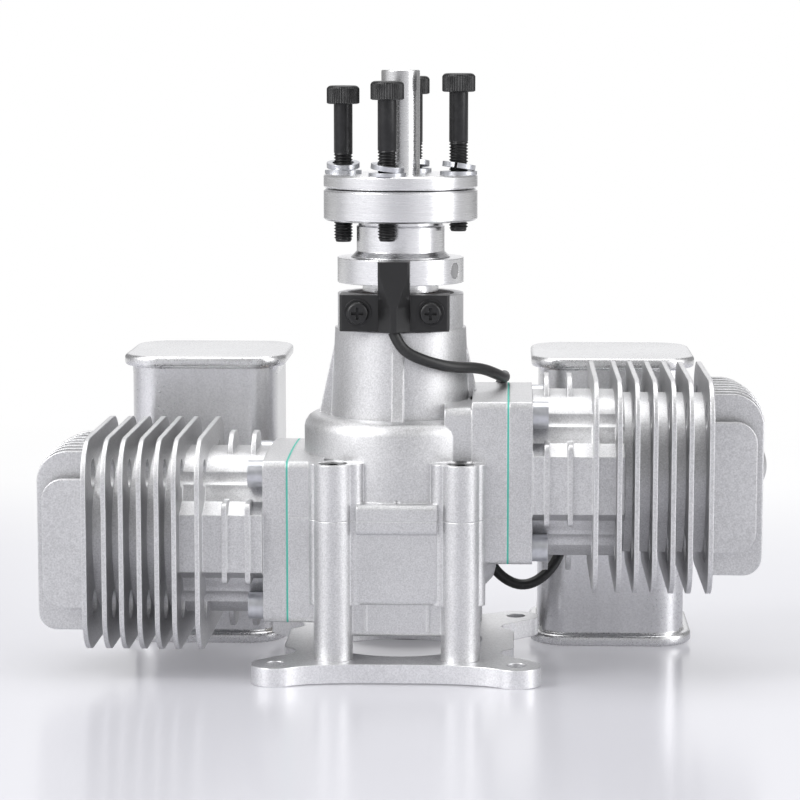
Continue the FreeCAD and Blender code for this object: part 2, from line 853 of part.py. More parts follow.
def inner_race(bearing):
    outer_face = bearing[0] + (bearing[1] - bearing[0]) * race_share
    ring = tube(outer_face, bearing[0], 0, 0, bearing[3], bearing[3] + bearing[2])
    return one(ring.cut(race_groove(bearing)))


def ball_row(bearing, count):
    """The balls of one bearing in their cage ring."""
    middle = bearing[3] + bearing[2] / 2
    circle = race_circle(bearing)
    half_wall = bearing[4] * 0.35
    cage = tube(circle + half_wall, circle - half_wall, 0, 0, middle - bearing[4] * cage_share,
                middle + bearing[4] * cage_share)
    balls = []
    pockets = []
    for i in range(count):
        turn = 2 * math.pi * i / count
        outward = V(math.cos(turn), math.sin(turn), 0)
        at = outward * circle
        at.z = middle
        balls.append(Part.makeSphere(bearing[4], at))
        start = at - outward * bearing[4]
        pockets.append(rod(bearing[4] + running, start, outward, 2 * bearing[4]))
    cage = cage.cut(Part.makeCompound(pockets))
    return balls + cage.Solids


def shaft_seal():
    z0 = nose_bearing[3] + nose_bearing[2] + 0.4
    return tube(nose_bearing[1], shaft_r + running, 0, 0, z0, z0 + seal_t)


# Propeller end

def prop_bolt_places():
    places = []
    for i in range(4):
        turn = math.radians(180 - prop_bolt_turn + 90 * i)
        places.append((prop_bolt_circle_r * math.cos(turn), prop_bolt_circle_r * math.sin(turn)))
    return places


def prop_hub():
    body = turned([
        (hub_seat_r, hub_z0), (hub_neck_r, hub_z0), (hub_neck_r, collar_z1 + 0.1),
        (hub_flare_r, collar_z1 + 0.1), (hub_waist_r, collar_z1 + 1.6),
        (hub_waist_r, hub_flange_z0 - 1.6), (hub_waist_r - 0.5, hub_flange_z0 - 1.2),
        (hub_waist_r - 0.5, hub_flange_z0), (hub_flange_r - 0.5, hub_flange_z0),
        (hub_flange_r, hub_flange_z0 + 0.5), (hub_flange_r, hub_flange_z1 - 0.5),
        (hub_flange_r - 0.5, hub_flange_z1), (stud_foot_r, hub_flange_z1),
        (stud_foot_r, hub_flange_z0),
        (hub_seat_r, hub_flange_z0),
    ])
    for x, y in prop_bolt_places():
        body = body.cut(post(m5_r, x, y, hub_flange_z0 - 1, hub_flange_z1))
    return one(body.cut(key_block()))


def timing_collar():
    body = tube(collar_r, hub_neck_r, 0, 0, collar_z0, collar_z1)
    return one(body.cut(timing_magnet()))


def timing_magnet():
    turn = math.radians(magnet_angle)
    direction = V(math.cos(turn), math.sin(turn), 0)
    start = direction * (collar_r - magnet_len)
    pill = rod(magnet_r, (start.x, start.y, magnet_z), direction, magnet_len + 1)
    return one(pill.common(post(collar_r, 0, 0, collar_z0, collar_z1)))


def prop_washer():
    top = washer_plate_z0 + washer_plate_t
    body = turned([
        (stud_foot_r + running, washer_plate_z0), (hub_flange_r - 0.4, washer_plate_z0),
        (hub_flange_r, washer_plate_z0 + 0.4), (hub_flange_r, top - 0.4),
        (hub_flange_r - 0.4, top), (stud_foot_r + running, top),
    ])
    for x, y in prop_bolt_places():
        body = body.cut(post(m5_r + 0.1, x, y, washer_plate_z0, top))
    return one(body)


def prop_bolts():
    bolts = []
    for (x, y), seat in zip(prop_bolt_places(), under_heads):
        bolts.append(cap_screw((x, y, seat), Z, prop_bolt_len, m5_r, m5_head_r, m5_head_h, m5_key_r))
    return bolts


def flat_washers():
    z0 = washer_plate_z0 + washer_plate_t
    return [tube(flat_washer_r, m5_r + 0.1, x, y, z0, z0 + flat_washer_t)
            for x, y in prop_bolt_places()]


def spring_washers():
    """Split spring washers, still slack, each lying a little askew on its flat washer."""
    washers = []
    tilt = 9.0
    base = washer_plate_z0 + washer_plate_t + flat_washer_t
    lift = spring_washer_r * math.sin(math.radians(tilt)) + 0.02
    for i, (x, y) in enumerate(prop_bolt_places()):
        ring = tube(spring_washer_r, m5_r + 0.35, 0, 0, 0, spring_washer_t)
        ring = ring.cut(block(0, spring_washer_r + 1, -0.35, 0.35, -1, spring_washer_t + 1))
        ring.rotate(V(0, 0, 0), Z, 70 + 95 * i)
        ring.rotate(V(0, 0, 0), V(math.cos(i), math.sin(i), 0), tilt)
        ring.translate(V(x, y, base + lift))
        washers.append(one(ring))
    return washers


# Timing sensor

def sensor_section(z, corner):
    """An outline of the housing's middle column, with its two front corners cut off."""
    x0, x1 = sensor_x - sensor_post_half_x, sensor_x + sensor_post_half_x
    back, front = -sensor_y + 1, -sensor_post_y
    points = [(x0, back), (x0, front + corner), (x0 + corner, front), (x1 - corner, front),
              (x1, front + corner), (x1, back)]
    return Part.makePolygon([V(x, y, z) for x, y in points + points[:1]])


def sensor_housing():
    x = sensor_x
    bracket = rounded_block(x - sensor_half_x, x + sensor_half_x, -sensor_y, -8, sensor_z0,
                            sensor_z1, 0.8)
    post_y1 = -collar_r - loose - 0.2
    half = sensor_post_half_x
    column = Part.makeLoft([sensor_section(z, c) for z, c in sensor_sections], True, True)
    head = rounded_block(x - half, x + half, -sensor_post_y + 2, post_y1, sensor_z1 - 1,
                         sensor_post_z1, 0.6)
    body = bracket.fuse(column).fuse(head)
    body = body.cut(post(ring_r, 0, 0, sensor_z0 - 1, sensor_z1 + 0.2))
    body = body.cut(post(collar_r + loose, 0, 0, sensor_z1, sensor_post_z1 + 1))
    for side in SIDES:
        hole = rod(m3_r + screw_play, (x + side * sensor_screw_dx, -sensor_y - 1, sensor_screw_z),
                   Y, 12)
        body = body.cut(hole)
    return one(body.removeSplitter())


def sensor_screws():
    screws = []
    seat = -sensor_y - m3_washer_t
    for side in SIDES:
        x = sensor_x + side * sensor_screw_dx
        head = rod(m3_head_r, (x, seat, sensor_screw_z), Y * -1, m3_head_h)
        rim = [e for e in head.Edges if abs(e.BoundBox.YMin - seat + m3_head_h) < 1e-6
               and e.BoundBox.YLength < 1e-6]
        head = head.makeFillet(0.9, rim)
        shank = rod(m3_r, (x, seat, sensor_screw_z), Y, -seat - sensor_screw_end)
        screw = head.fuse(shank).removeSplitter()
        for wide, tall in ((3.2, 0.8), (0.8, 3.2)):
            slot = block(x - wide / 2, x + wide / 2, seat - m3_head_h, seat - m3_head_h + 1.3,
                         sensor_screw_z - tall / 2, sensor_screw_z + tall / 2)
            screw = screw.cut(slot)
        screws.append(one(screw))
    return screws


def sensor_washers():
    washers = []
    for side in SIDES:
        at = (sensor_x + side * sensor_screw_dx, -sensor_y - m3_washer_t, sensor_screw_z)
        washers.append(rod(m3_washer_r, at, Y, m3_washer_t).cut(rod(m3_r, at, Y, m3_washer_t)))
    return washers


def floor_z(y):
    return -floor_slope * (y + floor_y0)


def routed_tube(points, radius):
    """Straight runs joined by tangent arcs, swept with a circle."""
    corners = [V(*p) for p in points]
    edges = []
    start = corners[0]
    radii = []
    for i in range(1, len(corners) - 1):
        before, corner, after = corners[i - 1], corners[i], corners[i + 1]
        run_in, run_out = corner - before, after - corner
        turn = run_in.getAngle(run_out)
        cut_back = 0.45 * min(run_in.Length, run_out.Length)
        radii.append(cut_back / math.tan(turn / 2))
        a = corner - run_in.normalize() * cut_back
        b = corner + run_out.normalize() * cut_back
        inward = (a + b) * 0.5 - corner
        bisector_len = radii[-1] / math.cos(turn / 2)
        centre = corner + V(inward).normalize() * bisector_len
        middle = centre + (corner - centre).normalize() * radii[-1]
        edges.append(Part.LineSegment(start, a).toShape())
        edges.append(Part.Arc(a, middle, b).toShape())
        start = b
    edges.append(Part.LineSegment(start, corners[-1]).toShape())
    wire = Part.Wire(edges)
    first = (corners[1] - corners[0]).normalize()
    profile = Part.Wire([Part.makeCircle(radius, corners[0], first)])
    solid = wire.makePipeShell([profile], True, True)
    length = sum(e.Length for e in edges)
    print("lead radii", [round(r, 1) for r in radii])
    print("lead length", round(length, 1), "volume share",
          round(solid.Volume / (math.pi * radius ** 2 * length), 4))
    return solid


def laid_on_floor(shape):
    """Tilt what was made on z = 0 round the coil's middle, onto the sloping floor."""
    y = coil_centre[1]
    shape.rotate(V(0, y, 0), X, -math.degrees(math.atan(floor_slope)))
    shape.translate(V(0, 0, floor_z(y) + 0.1))
    return shape


def lead_coil():
    """The outer shape of the put-away turns, lying on the sloping floor."""
    half_band = coil_turns * lead_d / 2 + 0.1
    x, y = coil_centre
    return laid_on_floor(tube(coil_r + half_band, coil_r - half_band, x, y, 0, lead_d))


def sensor_lead():
    return one(routed_tube(lead_route, lead_d / 2).cut(lead_coil()))


def lead_plug():
    """The lead's end, turning in from the coil, with its three-pin connector in the middle."""
    x0, y0 = connector_x0, coil_centre[1] + connector_dy
    half_w = connector_w / 2
    body = rounded_block(x0, x0 + connector_len, y0 - half_w, y0 + half_w, 0, lead_d, 0.5)
    for i in (-1, 0, 1):
        y = y0 + i * pin_pitch
        body = body.cut(block(x0 + connector_len - pin_depth, x0 + connector_len + 1,
                              y - 0.5, y + 0.5, 0.95, 1.95))
    tail = routed_tube([(x, coil_centre[1] + dy, lead_d / 2) for x, dy in tail_route], lead_d / 2)
    body = laid_on_floor(body.fuse(tail).removeSplitter())
    return one(body.cut(lead_coil()))


# Spark plugs

def plug_shell():
    base = rod(plug_thread_r, plug_line(0), plug_direction(), plug_reach)
    base = base.cut(rod(3.4, plug_line(0), plug_direction(), plug_reach - 3))
    gasket = rod(plug_seat_r, plug_line(plug_reach), plug_direction(), 2.0)
    nut = hexagon(plug_hex_af, plug_line(plug_reach + 2), plug_direction(), 7.0)
    collar = rod(6.2, plug_line(plug_reach + 9), plug_direction(), 3.0)
    body = fuse([base, gasket, nut, collar])
    return one(body.cut(rod(2.6, plug_line(0), plug_direction(), plug_reach + 13)))


def plug_insulator():
    nose = rod(2.6, plug_line(1.0), plug_direction(), plug_reach + 11)
    neck = Part.makeCone(5.0, 4.0, plug_len - 7 - plug_reach - 12, V(*plug_line(plug_reach + 12)),
                         plug_direction())
    body = nose.fuse(neck).removeSplitter()
    return one(body.cut(rod(1.1, plug_line(0), plug_direction(), plug_len)))


def plug_terminal():
    core = rod(1.1, plug_line(0.6), plug_direction(), plug_len - 7)
    cap = rod(2.3, plug_line(plug_len - 7), plug_direction(), 7.0)
    groove = rod(3.0, plug_line(plug_len - 4), plug_direction(), 2.0).cut(
        rod(1.7, plug_line(plug_len - 4), plug_direction(), 2.0))
    return one(core.fuse(cap).removeSplitter().cut(groove))


# Mufflers

def muffler_box(over, z0, z1, corner):
    half = muffler_w / 2 + over
    return rounded_block(muffler_u - half, muffler_u + half, muffler_y0 - over,
                         muffler_y0 + muffler_depth + over, z0, z1, corner)


def muffler_shell(side):
    """The folded can with its inlet flange, screw tubes and outlet pipe."""
    z0, z1 = muffler_z0 + muffler_cap_t, muffler_z1 - muffler_cap_t
    level = left_axis_z if side < 0 else right_axis_z
    far = muffler_y0 + muffler_depth
    inlet_y = stub_y + gasket_t
    outer = muffler_box(0, z0, z1, muffler_corner_r)
    inner = muffler_box(-muffler_wall, z0, z1, muffler_corner_r - muffler_wall)
    flange = rounded_block(muffler_u - stub_half_u, muffler_u + stub_half_u, inlet_y,
                           muffler_y0 + muffler_wall, level - stub_half_w, level + stub_half_w,
                           3.0, Y)
    body = fuse([outer.cut(inner), flange])
    port = block(muffler_u - port_half_u, muffler_u + port_half_u, inlet_y,
                 muffler_y0 + muffler_wall, level - port_half_w, level + port_half_w)
    body = body.cut(port)
    for a in SIDES:
        x = muffler_u + a * muffler_screw_du
        sleeve = rod(tube_r, (x, muffler_y0 + muffler_wall, level), Y, muffler_depth - muffler_wall)
        body = body.fuse(sleeve)
        body = body.cut(rod(m4_head_r + 0.4, (x, muffler_y0 + muffler_wall, level), Y,
                            muffler_depth))
        body = body.cut(rod(m4_r + screw_play, (x, inlet_y, level), Y, muffler_depth))
    pipe = rod(outlet_r, (muffler_u, far - muffler_wall, outlet_z), Y, outlet_len + muffler_wall)
    body = body.fuse(pipe).removeSplitter()
    body = body.cut(rod(outlet_r - 1, (muffler_u, far - 2, outlet_z), Y, outlet_len + 4))
    return one(mirrored(body, side))


def muffler_cap(side, top):
    z0 = muffler_z1 - muffler_cap_t if top else muffler_z0
    z1 = z0 + muffler_cap_t
    cap = muffler_box(muffler_cap_over, z0, z1, muffler_corner_r + muffler_cap_over)
    rims = [e for e in cap.Edges if e.BoundBox.ZLength < 1e-6]
    cap = cap.makeFillet(1.1, rims)
    recess = (z1 - 0.9, z1) if top else (z0, z0 + 0.9)
    cap = cap.cut(muffler_box(-1.2, recess[0], recess[1], muffler_corner_r - 1.2))
    return one(mirrored(cap, side))


def exhaust_gasket():
    mu = muffler_u
    sheet = rounded_block(mu - stub_half_u, mu + stub_half_u, stub_y, stub_y + gasket_t,
                          -stub_half_w, stub_half_w, 3.0, Y)
    sheet = sheet.cut(block(mu - port_half_u, mu + port_half_u, stub_y, stub_y + gasket_t,
                            -port_half_w, port_half_w))
    for a in SIDES:
        sheet = sheet.cut(rod(m4_r + screw_play, (mu + a * muffler_screw_du, stub_y, 0), Y, gasket_t))
    return one(sheet)


def muffler_screws(side):
    seat = muffler_y0 + muffler_wall
    length = seat - stub_y + 8
    return [placed(cap_screw((muffler_u + a * muffler_screw_du, seat, 0), Y, length, m4_r,
                             m4_head_r, m4_head_h, m4_key_r), side) for a in SIDES]


# Intake: reed block, insulator and carburettor

def insulator_y0():
    return intake_pad_y + reed_t


def carb_y0():
    return insulator_y0() + insulator_t


def carb_screw_holes(y0, length, radius):
    return [rod(radius, (a * carb_screw_x, y0, intake_z - a * carb_screw_z), Y, length)
            for a in SIDES]


def reed_block():
    y0 = intake_pad_y
    body = rounded_block(-reed_half_x, reed_half_x, y0, y0 + reed_t, intake_z - intake_pad_half_z,
                         intake_z + intake_pad_half_z, 3.0, Y)
    cage = extruded([(-reed_cage_half_x, y0, intake_z - 4.4), (-reed_cage_half_x, y0, intake_z + 7.4),
                     (-reed_cage_half_x, y0 - 6.5, intake_z + 2.6),
                     (-reed_cage_half_x, y0 - 6.5, intake_z + 0.4)],
                    V(2 * reed_cage_half_x, 0, 0))
    body = body.fuse(cage)
    body = body.cut(rod(carb_bore_r, (0, y0 + 2, intake_z), Y, reed_t))
    inner = reed_cage_half_x - reed_cage_wall
    funnel = extruded([(-inner, y0 + 2.5, intake_z - 3.0), (-inner, y0 + 2.5, intake_z + 6.0),
                       (-inner, y0 - 4.6, intake_z + 2.0), (-inner, y0 - 4.6, intake_z + 1.0)],
                      V(2 * inner, 0, 0))
    body = body.cut(funnel)
    for hole in carb_screw_holes(y0, reed_t, m4_r + screw_play):
        body = body.cut(hole)
    return one(body.removeSplitter())


def insulator():
    y0 = insulator_y0()
    body = rounded_block(-insulator_half_x, insulator_half_x, y0, y0 + insulator_t,
                         intake_z - carb_half_z + 1, intake_z + carb_half_z - 1, 2.0, Y)
    body = body.cut(rod(carb_bore_r + 0.3, (0, y0, intake_z), Y, insulator_t))
    for hole in carb_screw_holes(y0, insulator_t, m4_r + screw_play):
        body = body.cut(hole)
    return one(body)


def carb_body():
    y0 = carb_y0()
    z = intake_z
    body = rounded_block(-carb_half_x, carb_half_x, y0, y0 + carb_len, z - carb_half_z,
                         z + carb_half_z, 2.0, Y)
    body = body.cut(rod(carb_bore_r, (0, y0, z), Y, carb_len))
    for dy in (throttle_dy, choke_dy):
        body = body.cut(rod(valve_shaft_r + running, (-carb_half_x, y0 + dy, z), X, 2 * carb_half_x))
    for hole in carb_screw_holes(y0, carb_len, m4_r + screw_play):
        body = body.cut(hole)
    sink_y = y0 + carb_len - carb_screw_sink
    for hole in carb_screw_holes(sink_y, carb_screw_sink, m4_head_r + 0.2):
        body = body.cut(hole)
    for dy in needle_dys:
        body = body.cut(rod(needle_r + running, (-carb_half_x, y0 + dy, z + needle_z), X, 6.5))
    body = body.cut(rod(1.5, (carb_half_x - 5, y0 + choke_dy - 4, z + 8.5), X, 5))
    for level in SIDES:
        for a, b in CORNERS:
            at = (a * cover_screw_x, y0 + carb_len / 2 + b * cover_screw_dy,
                  z + level * (carb_half_z - cover_screw_depth))
            body = body.cut(rod(cover_screw_r, at, Z * level, cover_screw_depth))
    return one(body)


def butterfly(dy, shut, x0, x1):
    """A valve shaft with its round plate, shut across the bore or open along it."""
    y = carb_y0() + dy
    shaft = rod(valve_shaft_r, (x0, y, intake_z), X, x1 - x0)
    radius = carb_bore_r - 0.1
    half = valve_disc_t / 2
    if shut:
        disc = rod(radius, (0, y - half, intake_z), Y, valve_disc_t)
    else:
        disc = rod(radius, (0, y, intake_z - half), Z, valve_disc_t)
    return one(shaft.fuse(disc).removeSplitter())


def lever(dy, x0, side_z, length):
    """A flat arm on the end of a valve shaft, with a hole near its tip."""
    y = carb_y0() + dy
    z = intake_z
    hub = rod(3.6, (x0, y, z), X, arm_t)
    tip = rod(2.4, (x0, y, z + side_z * length), X, arm_t)
    low, high = sorted((z, z + side_z * length))
    blade = block(x0, x0 + arm_t, y - 2.4, y + 2.4, low, high)
    body = fuse([hub, tip, blade])
    body = body.cut(rod(0.9, (x0, y, z + side_z * length), X, arm_t))
    return one(body.cut(rod(valve_shaft_r, (x0, y, z), X, arm_t)))


def mixture_needle(dy):
    y, z = carb_y0() + dy, intake_z + needle_z
    x = -carb_half_x
    stem = rod(needle_r, (x - 2.5, y, z), X, 8.5)
    head = rod(2.4, (x - 8.5, y, z), X, 6.0)
    slot = block(x - 9, x - 7.3, y - 3, y + 3, z - 0.4, z + 0.4)
    return one(stem.fuse(head).removeSplitter().cut(slot))


def carb_cover(level):
    y0 = carb_y0()
    z0 = intake_z + carb_half_z if level > 0 else intake_z - carb_half_z - cover_t
    plate = rounded_block(-carb_half_x + 1, carb_half_x - 1, y0 + 1, y0 + carb_len - 1, z0,
                          z0 + cover_t, 2.5)
    rim_z = z0 + cover_t if level > 0 else z0
    rims = [e for e in plate.Edges
            if abs(e.BoundBox.ZMin - rim_z) < 1e-6 and e.BoundBox.ZLength < 1e-6]
    plate = plate.makeFillet(0.8, rims)
    for a, b in CORNERS:
        plate = plate.cut(post(cover_screw_r + screw_play, a * cover_screw_x,
                               y0 + carb_len / 2 + b * cover_screw_dy, z0, z0 + cover_t))
    return one(plate)


def cover_screws():
    screws = []
    for level in SIDES:
        seat = intake_z + level * (carb_half_z + cover_t)
        for a, b in CORNERS:
            at = (a * cover_screw_x, carb_y0() + carb_len / 2 + b * cover_screw_dy, seat)
            head = rod(1.9, at, Z * level, 1.3)
            shank = rod(cover_screw_r, at, Z * -level, cover_t + cover_screw_depth - 0.2)
            slot_z = seat + level * 0.9
            low, high = sorted((slot_z, slot_z + level))
            slot = block(at[0] - 2, at[0] + 2, at[1] - 0.3, at[1] + 0.3, low, high)
            screws.append(one(head.fuse(shank).removeSplitter().cut(slot)))
    return screws


def fuel_nipple():
    y, z = carb_y0() + choke_dy - 4, intake_z + 8.5
    x = carb_half_x
    foot = (x - nipple_root, y, z)
    stem = rod(nipple_stem_r, foot, X, nipple_root + nipple_len)
    barb = Part.makeCone(nipple_barb_r, nipple_stem_r + 0.1, nipple_barb_len,
                         V(x + nipple_barb_at, y, z), X)
    collar = rod(nipple_collar_r, (x, y, z), X, nipple_collar_len)
    body = stem.fuse(barb).fuse(collar)
    return one(body.cut(rod(nipple_bore_r, foot, X, nipple_root + nipple_len)))


def main():
    os.makedirs("parts", exist_ok=True)
    part("mount_plate", mount_plate())
    rear, front = case_halves()
    part("rear_case", rear)
    part("front_case", front)
    part("case_bolts", *case_bolts())
    part("case_dowels", *[post(dowel_r, 0, side * dowel_r_circle, split_z - dowel_half_len,
                               split_z + dowel_half_len) for side in SIDES])
    part("shaft_seal", shaft_seal())
    bearings = (rear_bearing, front_bearing, nose_bearing)
    part("bearing_outer_races", *[outer_race(b) for b in bearings])
    part("bearing_inner_races", *[inner_race(b) for b in bearings])
    for name, bearing, count in zip(("rear", "front", "nose"), bearings, (9, 10, 12)):
        part(name + "_bearing_balls", *ball_row(bearing, count))

    for side, name in ((-1, "left"), (1, "right")):
        part(name + "_cylinder", placed(cylinder(), side))
        part(name + "_muffler", muffler_shell(side))
    part("pistons", *[placed(piston(), side) for side in SIDES])
    part("connecting_rods", *[placed(connecting_rod(), side) for side in SIDES])
    part("base_gaskets", *[placed(base_gasket(), side) for side in SIDES])
    part("cylinder_screws", *[s for side in SIDES for s in cylinder_screws(side)])
    part("piston_rings", *[placed(r, side) for side in SIDES for r in piston_rings()])
    part("wrist_pins", *[placed(wrist_pin(), side) for side in SIDES])
    part("wrist_pin_clips", *[placed(c, side) for side in SIDES for c in pin_clips()])
    part("plug_shells", *[placed(plug_shell(), side) for side in SIDES])
    part("plug_insulators", *[placed(plug_insulator(), side) for side in SIDES])
    part("plug_terminals", *[placed(plug_terminal(), side) for side in SIDES])
    part("exhaust_gaskets", *[placed(exhaust_gasket(), side) for side in SIDES])
    part("muffler_screws", *[s for side in SIDES for s in muffler_screws(side)])
    part("muffler_caps", *[muffler_cap(side, top) for side in SIDES for top in (True, False)])

    part("crank_rear_web", crank_rear())
    part("crank_centre_web", crank_centre())
    part("crank_front_shaft", crank_front())
    part("big_ends", *big_ends())
    part("big_end_needles", *big_end_needles())
    part("hub_key", key_block())
    part("prop_hub", prop_hub())
    part("timing_collar", timing_collar())
    part("timing_magnet", timing_magnet())
    part("prop_washer", prop_washer())
    part("prop_bolts", *prop_bolts())
    part("flat_washers", *flat_washers())
    part("spring_washers", *spring_washers())

    part("sensor_housing", sensor_housing())
    part("sensor_screws", *sensor_screws())
    part("sensor_washers", *sensor_washers())
    part("sensor_lead", sensor_lead())
    part("lead_coil", lead_coil())
    part("lead_plug", lead_plug())

    part("reed_block", reed_block())
    part("insulator", insulator())
    part("carb_body", carb_body())
    part("carb_covers", carb_cover(1), carb_cover(-1))
    part("carb_cover_screws", *cover_screws())
    seat = carb_y0() + carb_len - carb_screw_sink
    length = seat - intake_pad_y + 5
    part("carb_screws", *[cap_screw((a * carb_screw_x, seat, intake_z - a * carb_screw_z), Y, length,
                                    m4_r, m4_head_r, m4_head_h, m4_key_r) for a in SIDES])
    reach = carb_half_x + 0.8 + arm_t
    part("throttle_valve", butterfly(throttle_dy, True, -reach, carb_half_x))
    part("throttle_arm", lever(throttle_dy, -reach, 1, throttle_arm_len))
    part("choke_valve", butterfly(choke_dy, False, -carb_half_x, reach))
    part("choke_lever", lever(choke_dy, reach - arm_t, -1, choke_lever_len))
    part("high_needle", mixture_needle(needle_dys[0]))
    part("low_needle", mixture_needle(needle_dys[1]))
    part("fuel_nipple", fuel_nipple())


main()
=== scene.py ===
"""Opposed twin-cylinder model-aircraft engine, dressed over its CAD frame.

The crank axis is +Z and the cylinders lie along -X and +X. The engine leans a little towards the
camera, because it stands on the two front ears of its plate and on the muffler caps, so the floor
slopes in this frame. Sizes are in metres; MM turns a size in millimetres into metres.
"""
import bpy
import bmesh
import json
import math
import numpy as np
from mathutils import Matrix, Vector

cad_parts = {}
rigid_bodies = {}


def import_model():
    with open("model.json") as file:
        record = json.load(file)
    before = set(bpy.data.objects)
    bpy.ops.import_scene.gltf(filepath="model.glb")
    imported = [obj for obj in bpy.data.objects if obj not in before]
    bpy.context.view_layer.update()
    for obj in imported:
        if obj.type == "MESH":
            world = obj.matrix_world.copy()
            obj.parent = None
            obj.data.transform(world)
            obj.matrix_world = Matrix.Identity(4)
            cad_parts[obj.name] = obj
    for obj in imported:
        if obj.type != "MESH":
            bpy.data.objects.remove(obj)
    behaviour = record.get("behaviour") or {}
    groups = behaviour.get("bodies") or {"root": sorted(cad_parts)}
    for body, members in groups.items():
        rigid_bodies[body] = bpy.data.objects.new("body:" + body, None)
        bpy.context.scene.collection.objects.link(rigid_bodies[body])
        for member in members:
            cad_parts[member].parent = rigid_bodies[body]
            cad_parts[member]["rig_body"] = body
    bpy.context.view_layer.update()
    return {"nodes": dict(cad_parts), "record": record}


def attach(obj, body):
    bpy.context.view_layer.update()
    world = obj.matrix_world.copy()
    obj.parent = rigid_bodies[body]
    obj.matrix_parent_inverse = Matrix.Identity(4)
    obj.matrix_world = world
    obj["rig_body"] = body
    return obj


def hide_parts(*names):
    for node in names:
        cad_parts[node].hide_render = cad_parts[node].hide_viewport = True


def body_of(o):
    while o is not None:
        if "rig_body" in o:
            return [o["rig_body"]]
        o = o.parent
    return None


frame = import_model()

MM = 0.001
FULL_TURN = 2 * math.pi

# The camera, fitted to the photograph
CAMERA_PLACE = Vector((27.9, -692.0, 156.8)) * MM
CAMERA_LOOK = Vector((-0.0402, 0.9912, -0.1263))
CAMERA_LENS = 119.72
SENSOR_WIDTH = 36.0

# The floor: z = -FLOOR_SLOPE * (y + FLOOR_FRONT)
FLOOR_SLOPE = 0.0843
FLOOR_FRONT = 36.85 * MM


def floor_z(y):
    return -FLOOR_SLOPE * (y + FLOOR_FRONT)


camera = bpy.data.objects.new("camera", bpy.data.cameras.new("camera"))
camera.location = CAMERA_PLACE
camera.rotation_euler = CAMERA_LOOK.to_track_quat("-Z", "Y").to_euler()
camera.data.lens = CAMERA_LENS
camera.data.sensor_width = SENSOR_WIDTH
camera.data.clip_start = 0.02
camera.data.clip_end = 20.0
bpy.context.collection.objects.link(camera)
bpy.context.scene.camera = camera


# Meshes from arrays

def grid_faces(rows, columns, closed, first=0):
    """Quads between neighbouring points of a grid; closed joins each row's end to its start."""
    i = np.arange(rows - 1)
    j = np.arange(columns if closed else columns - 1)
    i, j = np.meshgrid(i, j, indexing="ij")
    i2, j2 = i + 1, (j + 1) % columns
    quads = np.stack([i * columns + j, i * columns + j2, i2 * columns + j2, i2 * columns + j], -1)
    return quads.reshape(-1, 4) + first


class Pile:
    """Collects grids of points, whose rows are closed rings, and makes one mesh of them."""

    def __init__(self):
        self.points, self.faces, self.count = [], [], 0

    def grid(self, points):
        rows, columns = points.shape[:2]
        self.points.append(points.reshape(-1, 3))
        self.faces.append(grid_faces(rows, columns, True, self.count))
        self.count += rows * columns

    def piece(self, name, body, slot, material, replaces=()):
        mesh = bpy.data.meshes.new(name)
        points = np.concatenate(self.points)
        mesh.from_pydata(points.tolist(), [], np.concatenate(self.faces).tolist())
        return finished_piece(name, mesh, body, material, replaces)


CREASE = 38
CAD_CREASE = 30
MERGE_DISTANCE = 1e-6
THIN_EDGE = 1e-7


def finished_piece(name, mesh, body, material, replaces=(), crease=CREASE):
    """Merges doubles, turns the faces outwards, shades smooth up to the crease angle and rides."""
    work = bmesh.new()
    work.from_mesh(mesh)
    bmesh.ops.remove_doubles(work, verts=work.verts, dist=MERGE_DISTANCE)
    bmesh.ops.dissolve_degenerate(work, edges=work.edges, dist=THIN_EDGE)
    bmesh.ops.recalc_face_normals(work, faces=work.faces)
    for face in work.faces:
        face.smooth = True
    for edge in work.edges:
        edge.smooth = len(edge.link_faces) != 2 or edge.calc_face_angle(0) < math.radians(crease)
    work.to_mesh(mesh)
    work.free()
    piece = bpy.data.objects.new(name, mesh)
    bpy.context.collection.objects.link(piece)
    mesh.materials.clear()
    mesh.materials.append(material)
    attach(piece, body)
    if replaces:
        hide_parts(*replaces)
    return piece


def turned(radii, heights, columns=64):
    """Surface of revolution: the point at angle a of row i is (r_i cos a, r_i sin a, z_i).

    radii and heights may be columns of numbers, or arrays over (row, angle).
    """
    angle = np.linspace(0, FULL_TURN, columns, endpoint=False)
    radii = np.broadcast_to(np.asarray(radii, float).reshape(len(radii), -1), (len(radii), columns))
    heights = np.asarray(heights, float).reshape(len(heights), -1)
    heights = np.broadcast_to(heights, radii.shape)
    return np.stack([radii * np.cos(angle), radii * np.sin(angle), heights], -1)


def rounded_square(half, corner, steps=10):
    """Points and outward directions round a square with rounded corners, in its own plane."""
    turn = np.linspace(0, math.pi / 2, steps)
    quarter = np.stack([np.cos(turn), np.sin(turn)], -1)
    points, outward = [], []
    for k in range(4):
        c, s = math.cos(k * math.pi / 2), math.sin(k * math.pi / 2)
        turned_quarter = quarter @ np.array([[c, s], [-s, c]])
        centre = np.array([1, 1]) * (half - corner) @ np.array([[c, s], [-s, c]])
        points.append(centre + corner * turned_quarter)
        outward.append(turned_quarter)
    return np.concatenate(points), np.concatenate(outward)


# Shader maths

BEVEL_SAMPLES = 6


class Value:
    """A socket of a material's nodes, with Python's operators as Math nodes."""

    def __init__(self, shader, socket):
        self.shader, self.socket = shader, socket

    def _math(self, operation, *values):
        return self.shader.node("ShaderNodeMath", dict(enumerate(values)), operation=operation)

    def __add__(self, other):
        return self._math("ADD", self, other)

    def __radd__(self, other):
        return self._math("ADD", other, self)

    def __sub__(self, other):
        return self._math("SUBTRACT", self, other)

    def __rsub__(self, other):
        return self._math("SUBTRACT", other, self)

    def __mul__(self, other):
        return self._math("MULTIPLY", self, other)


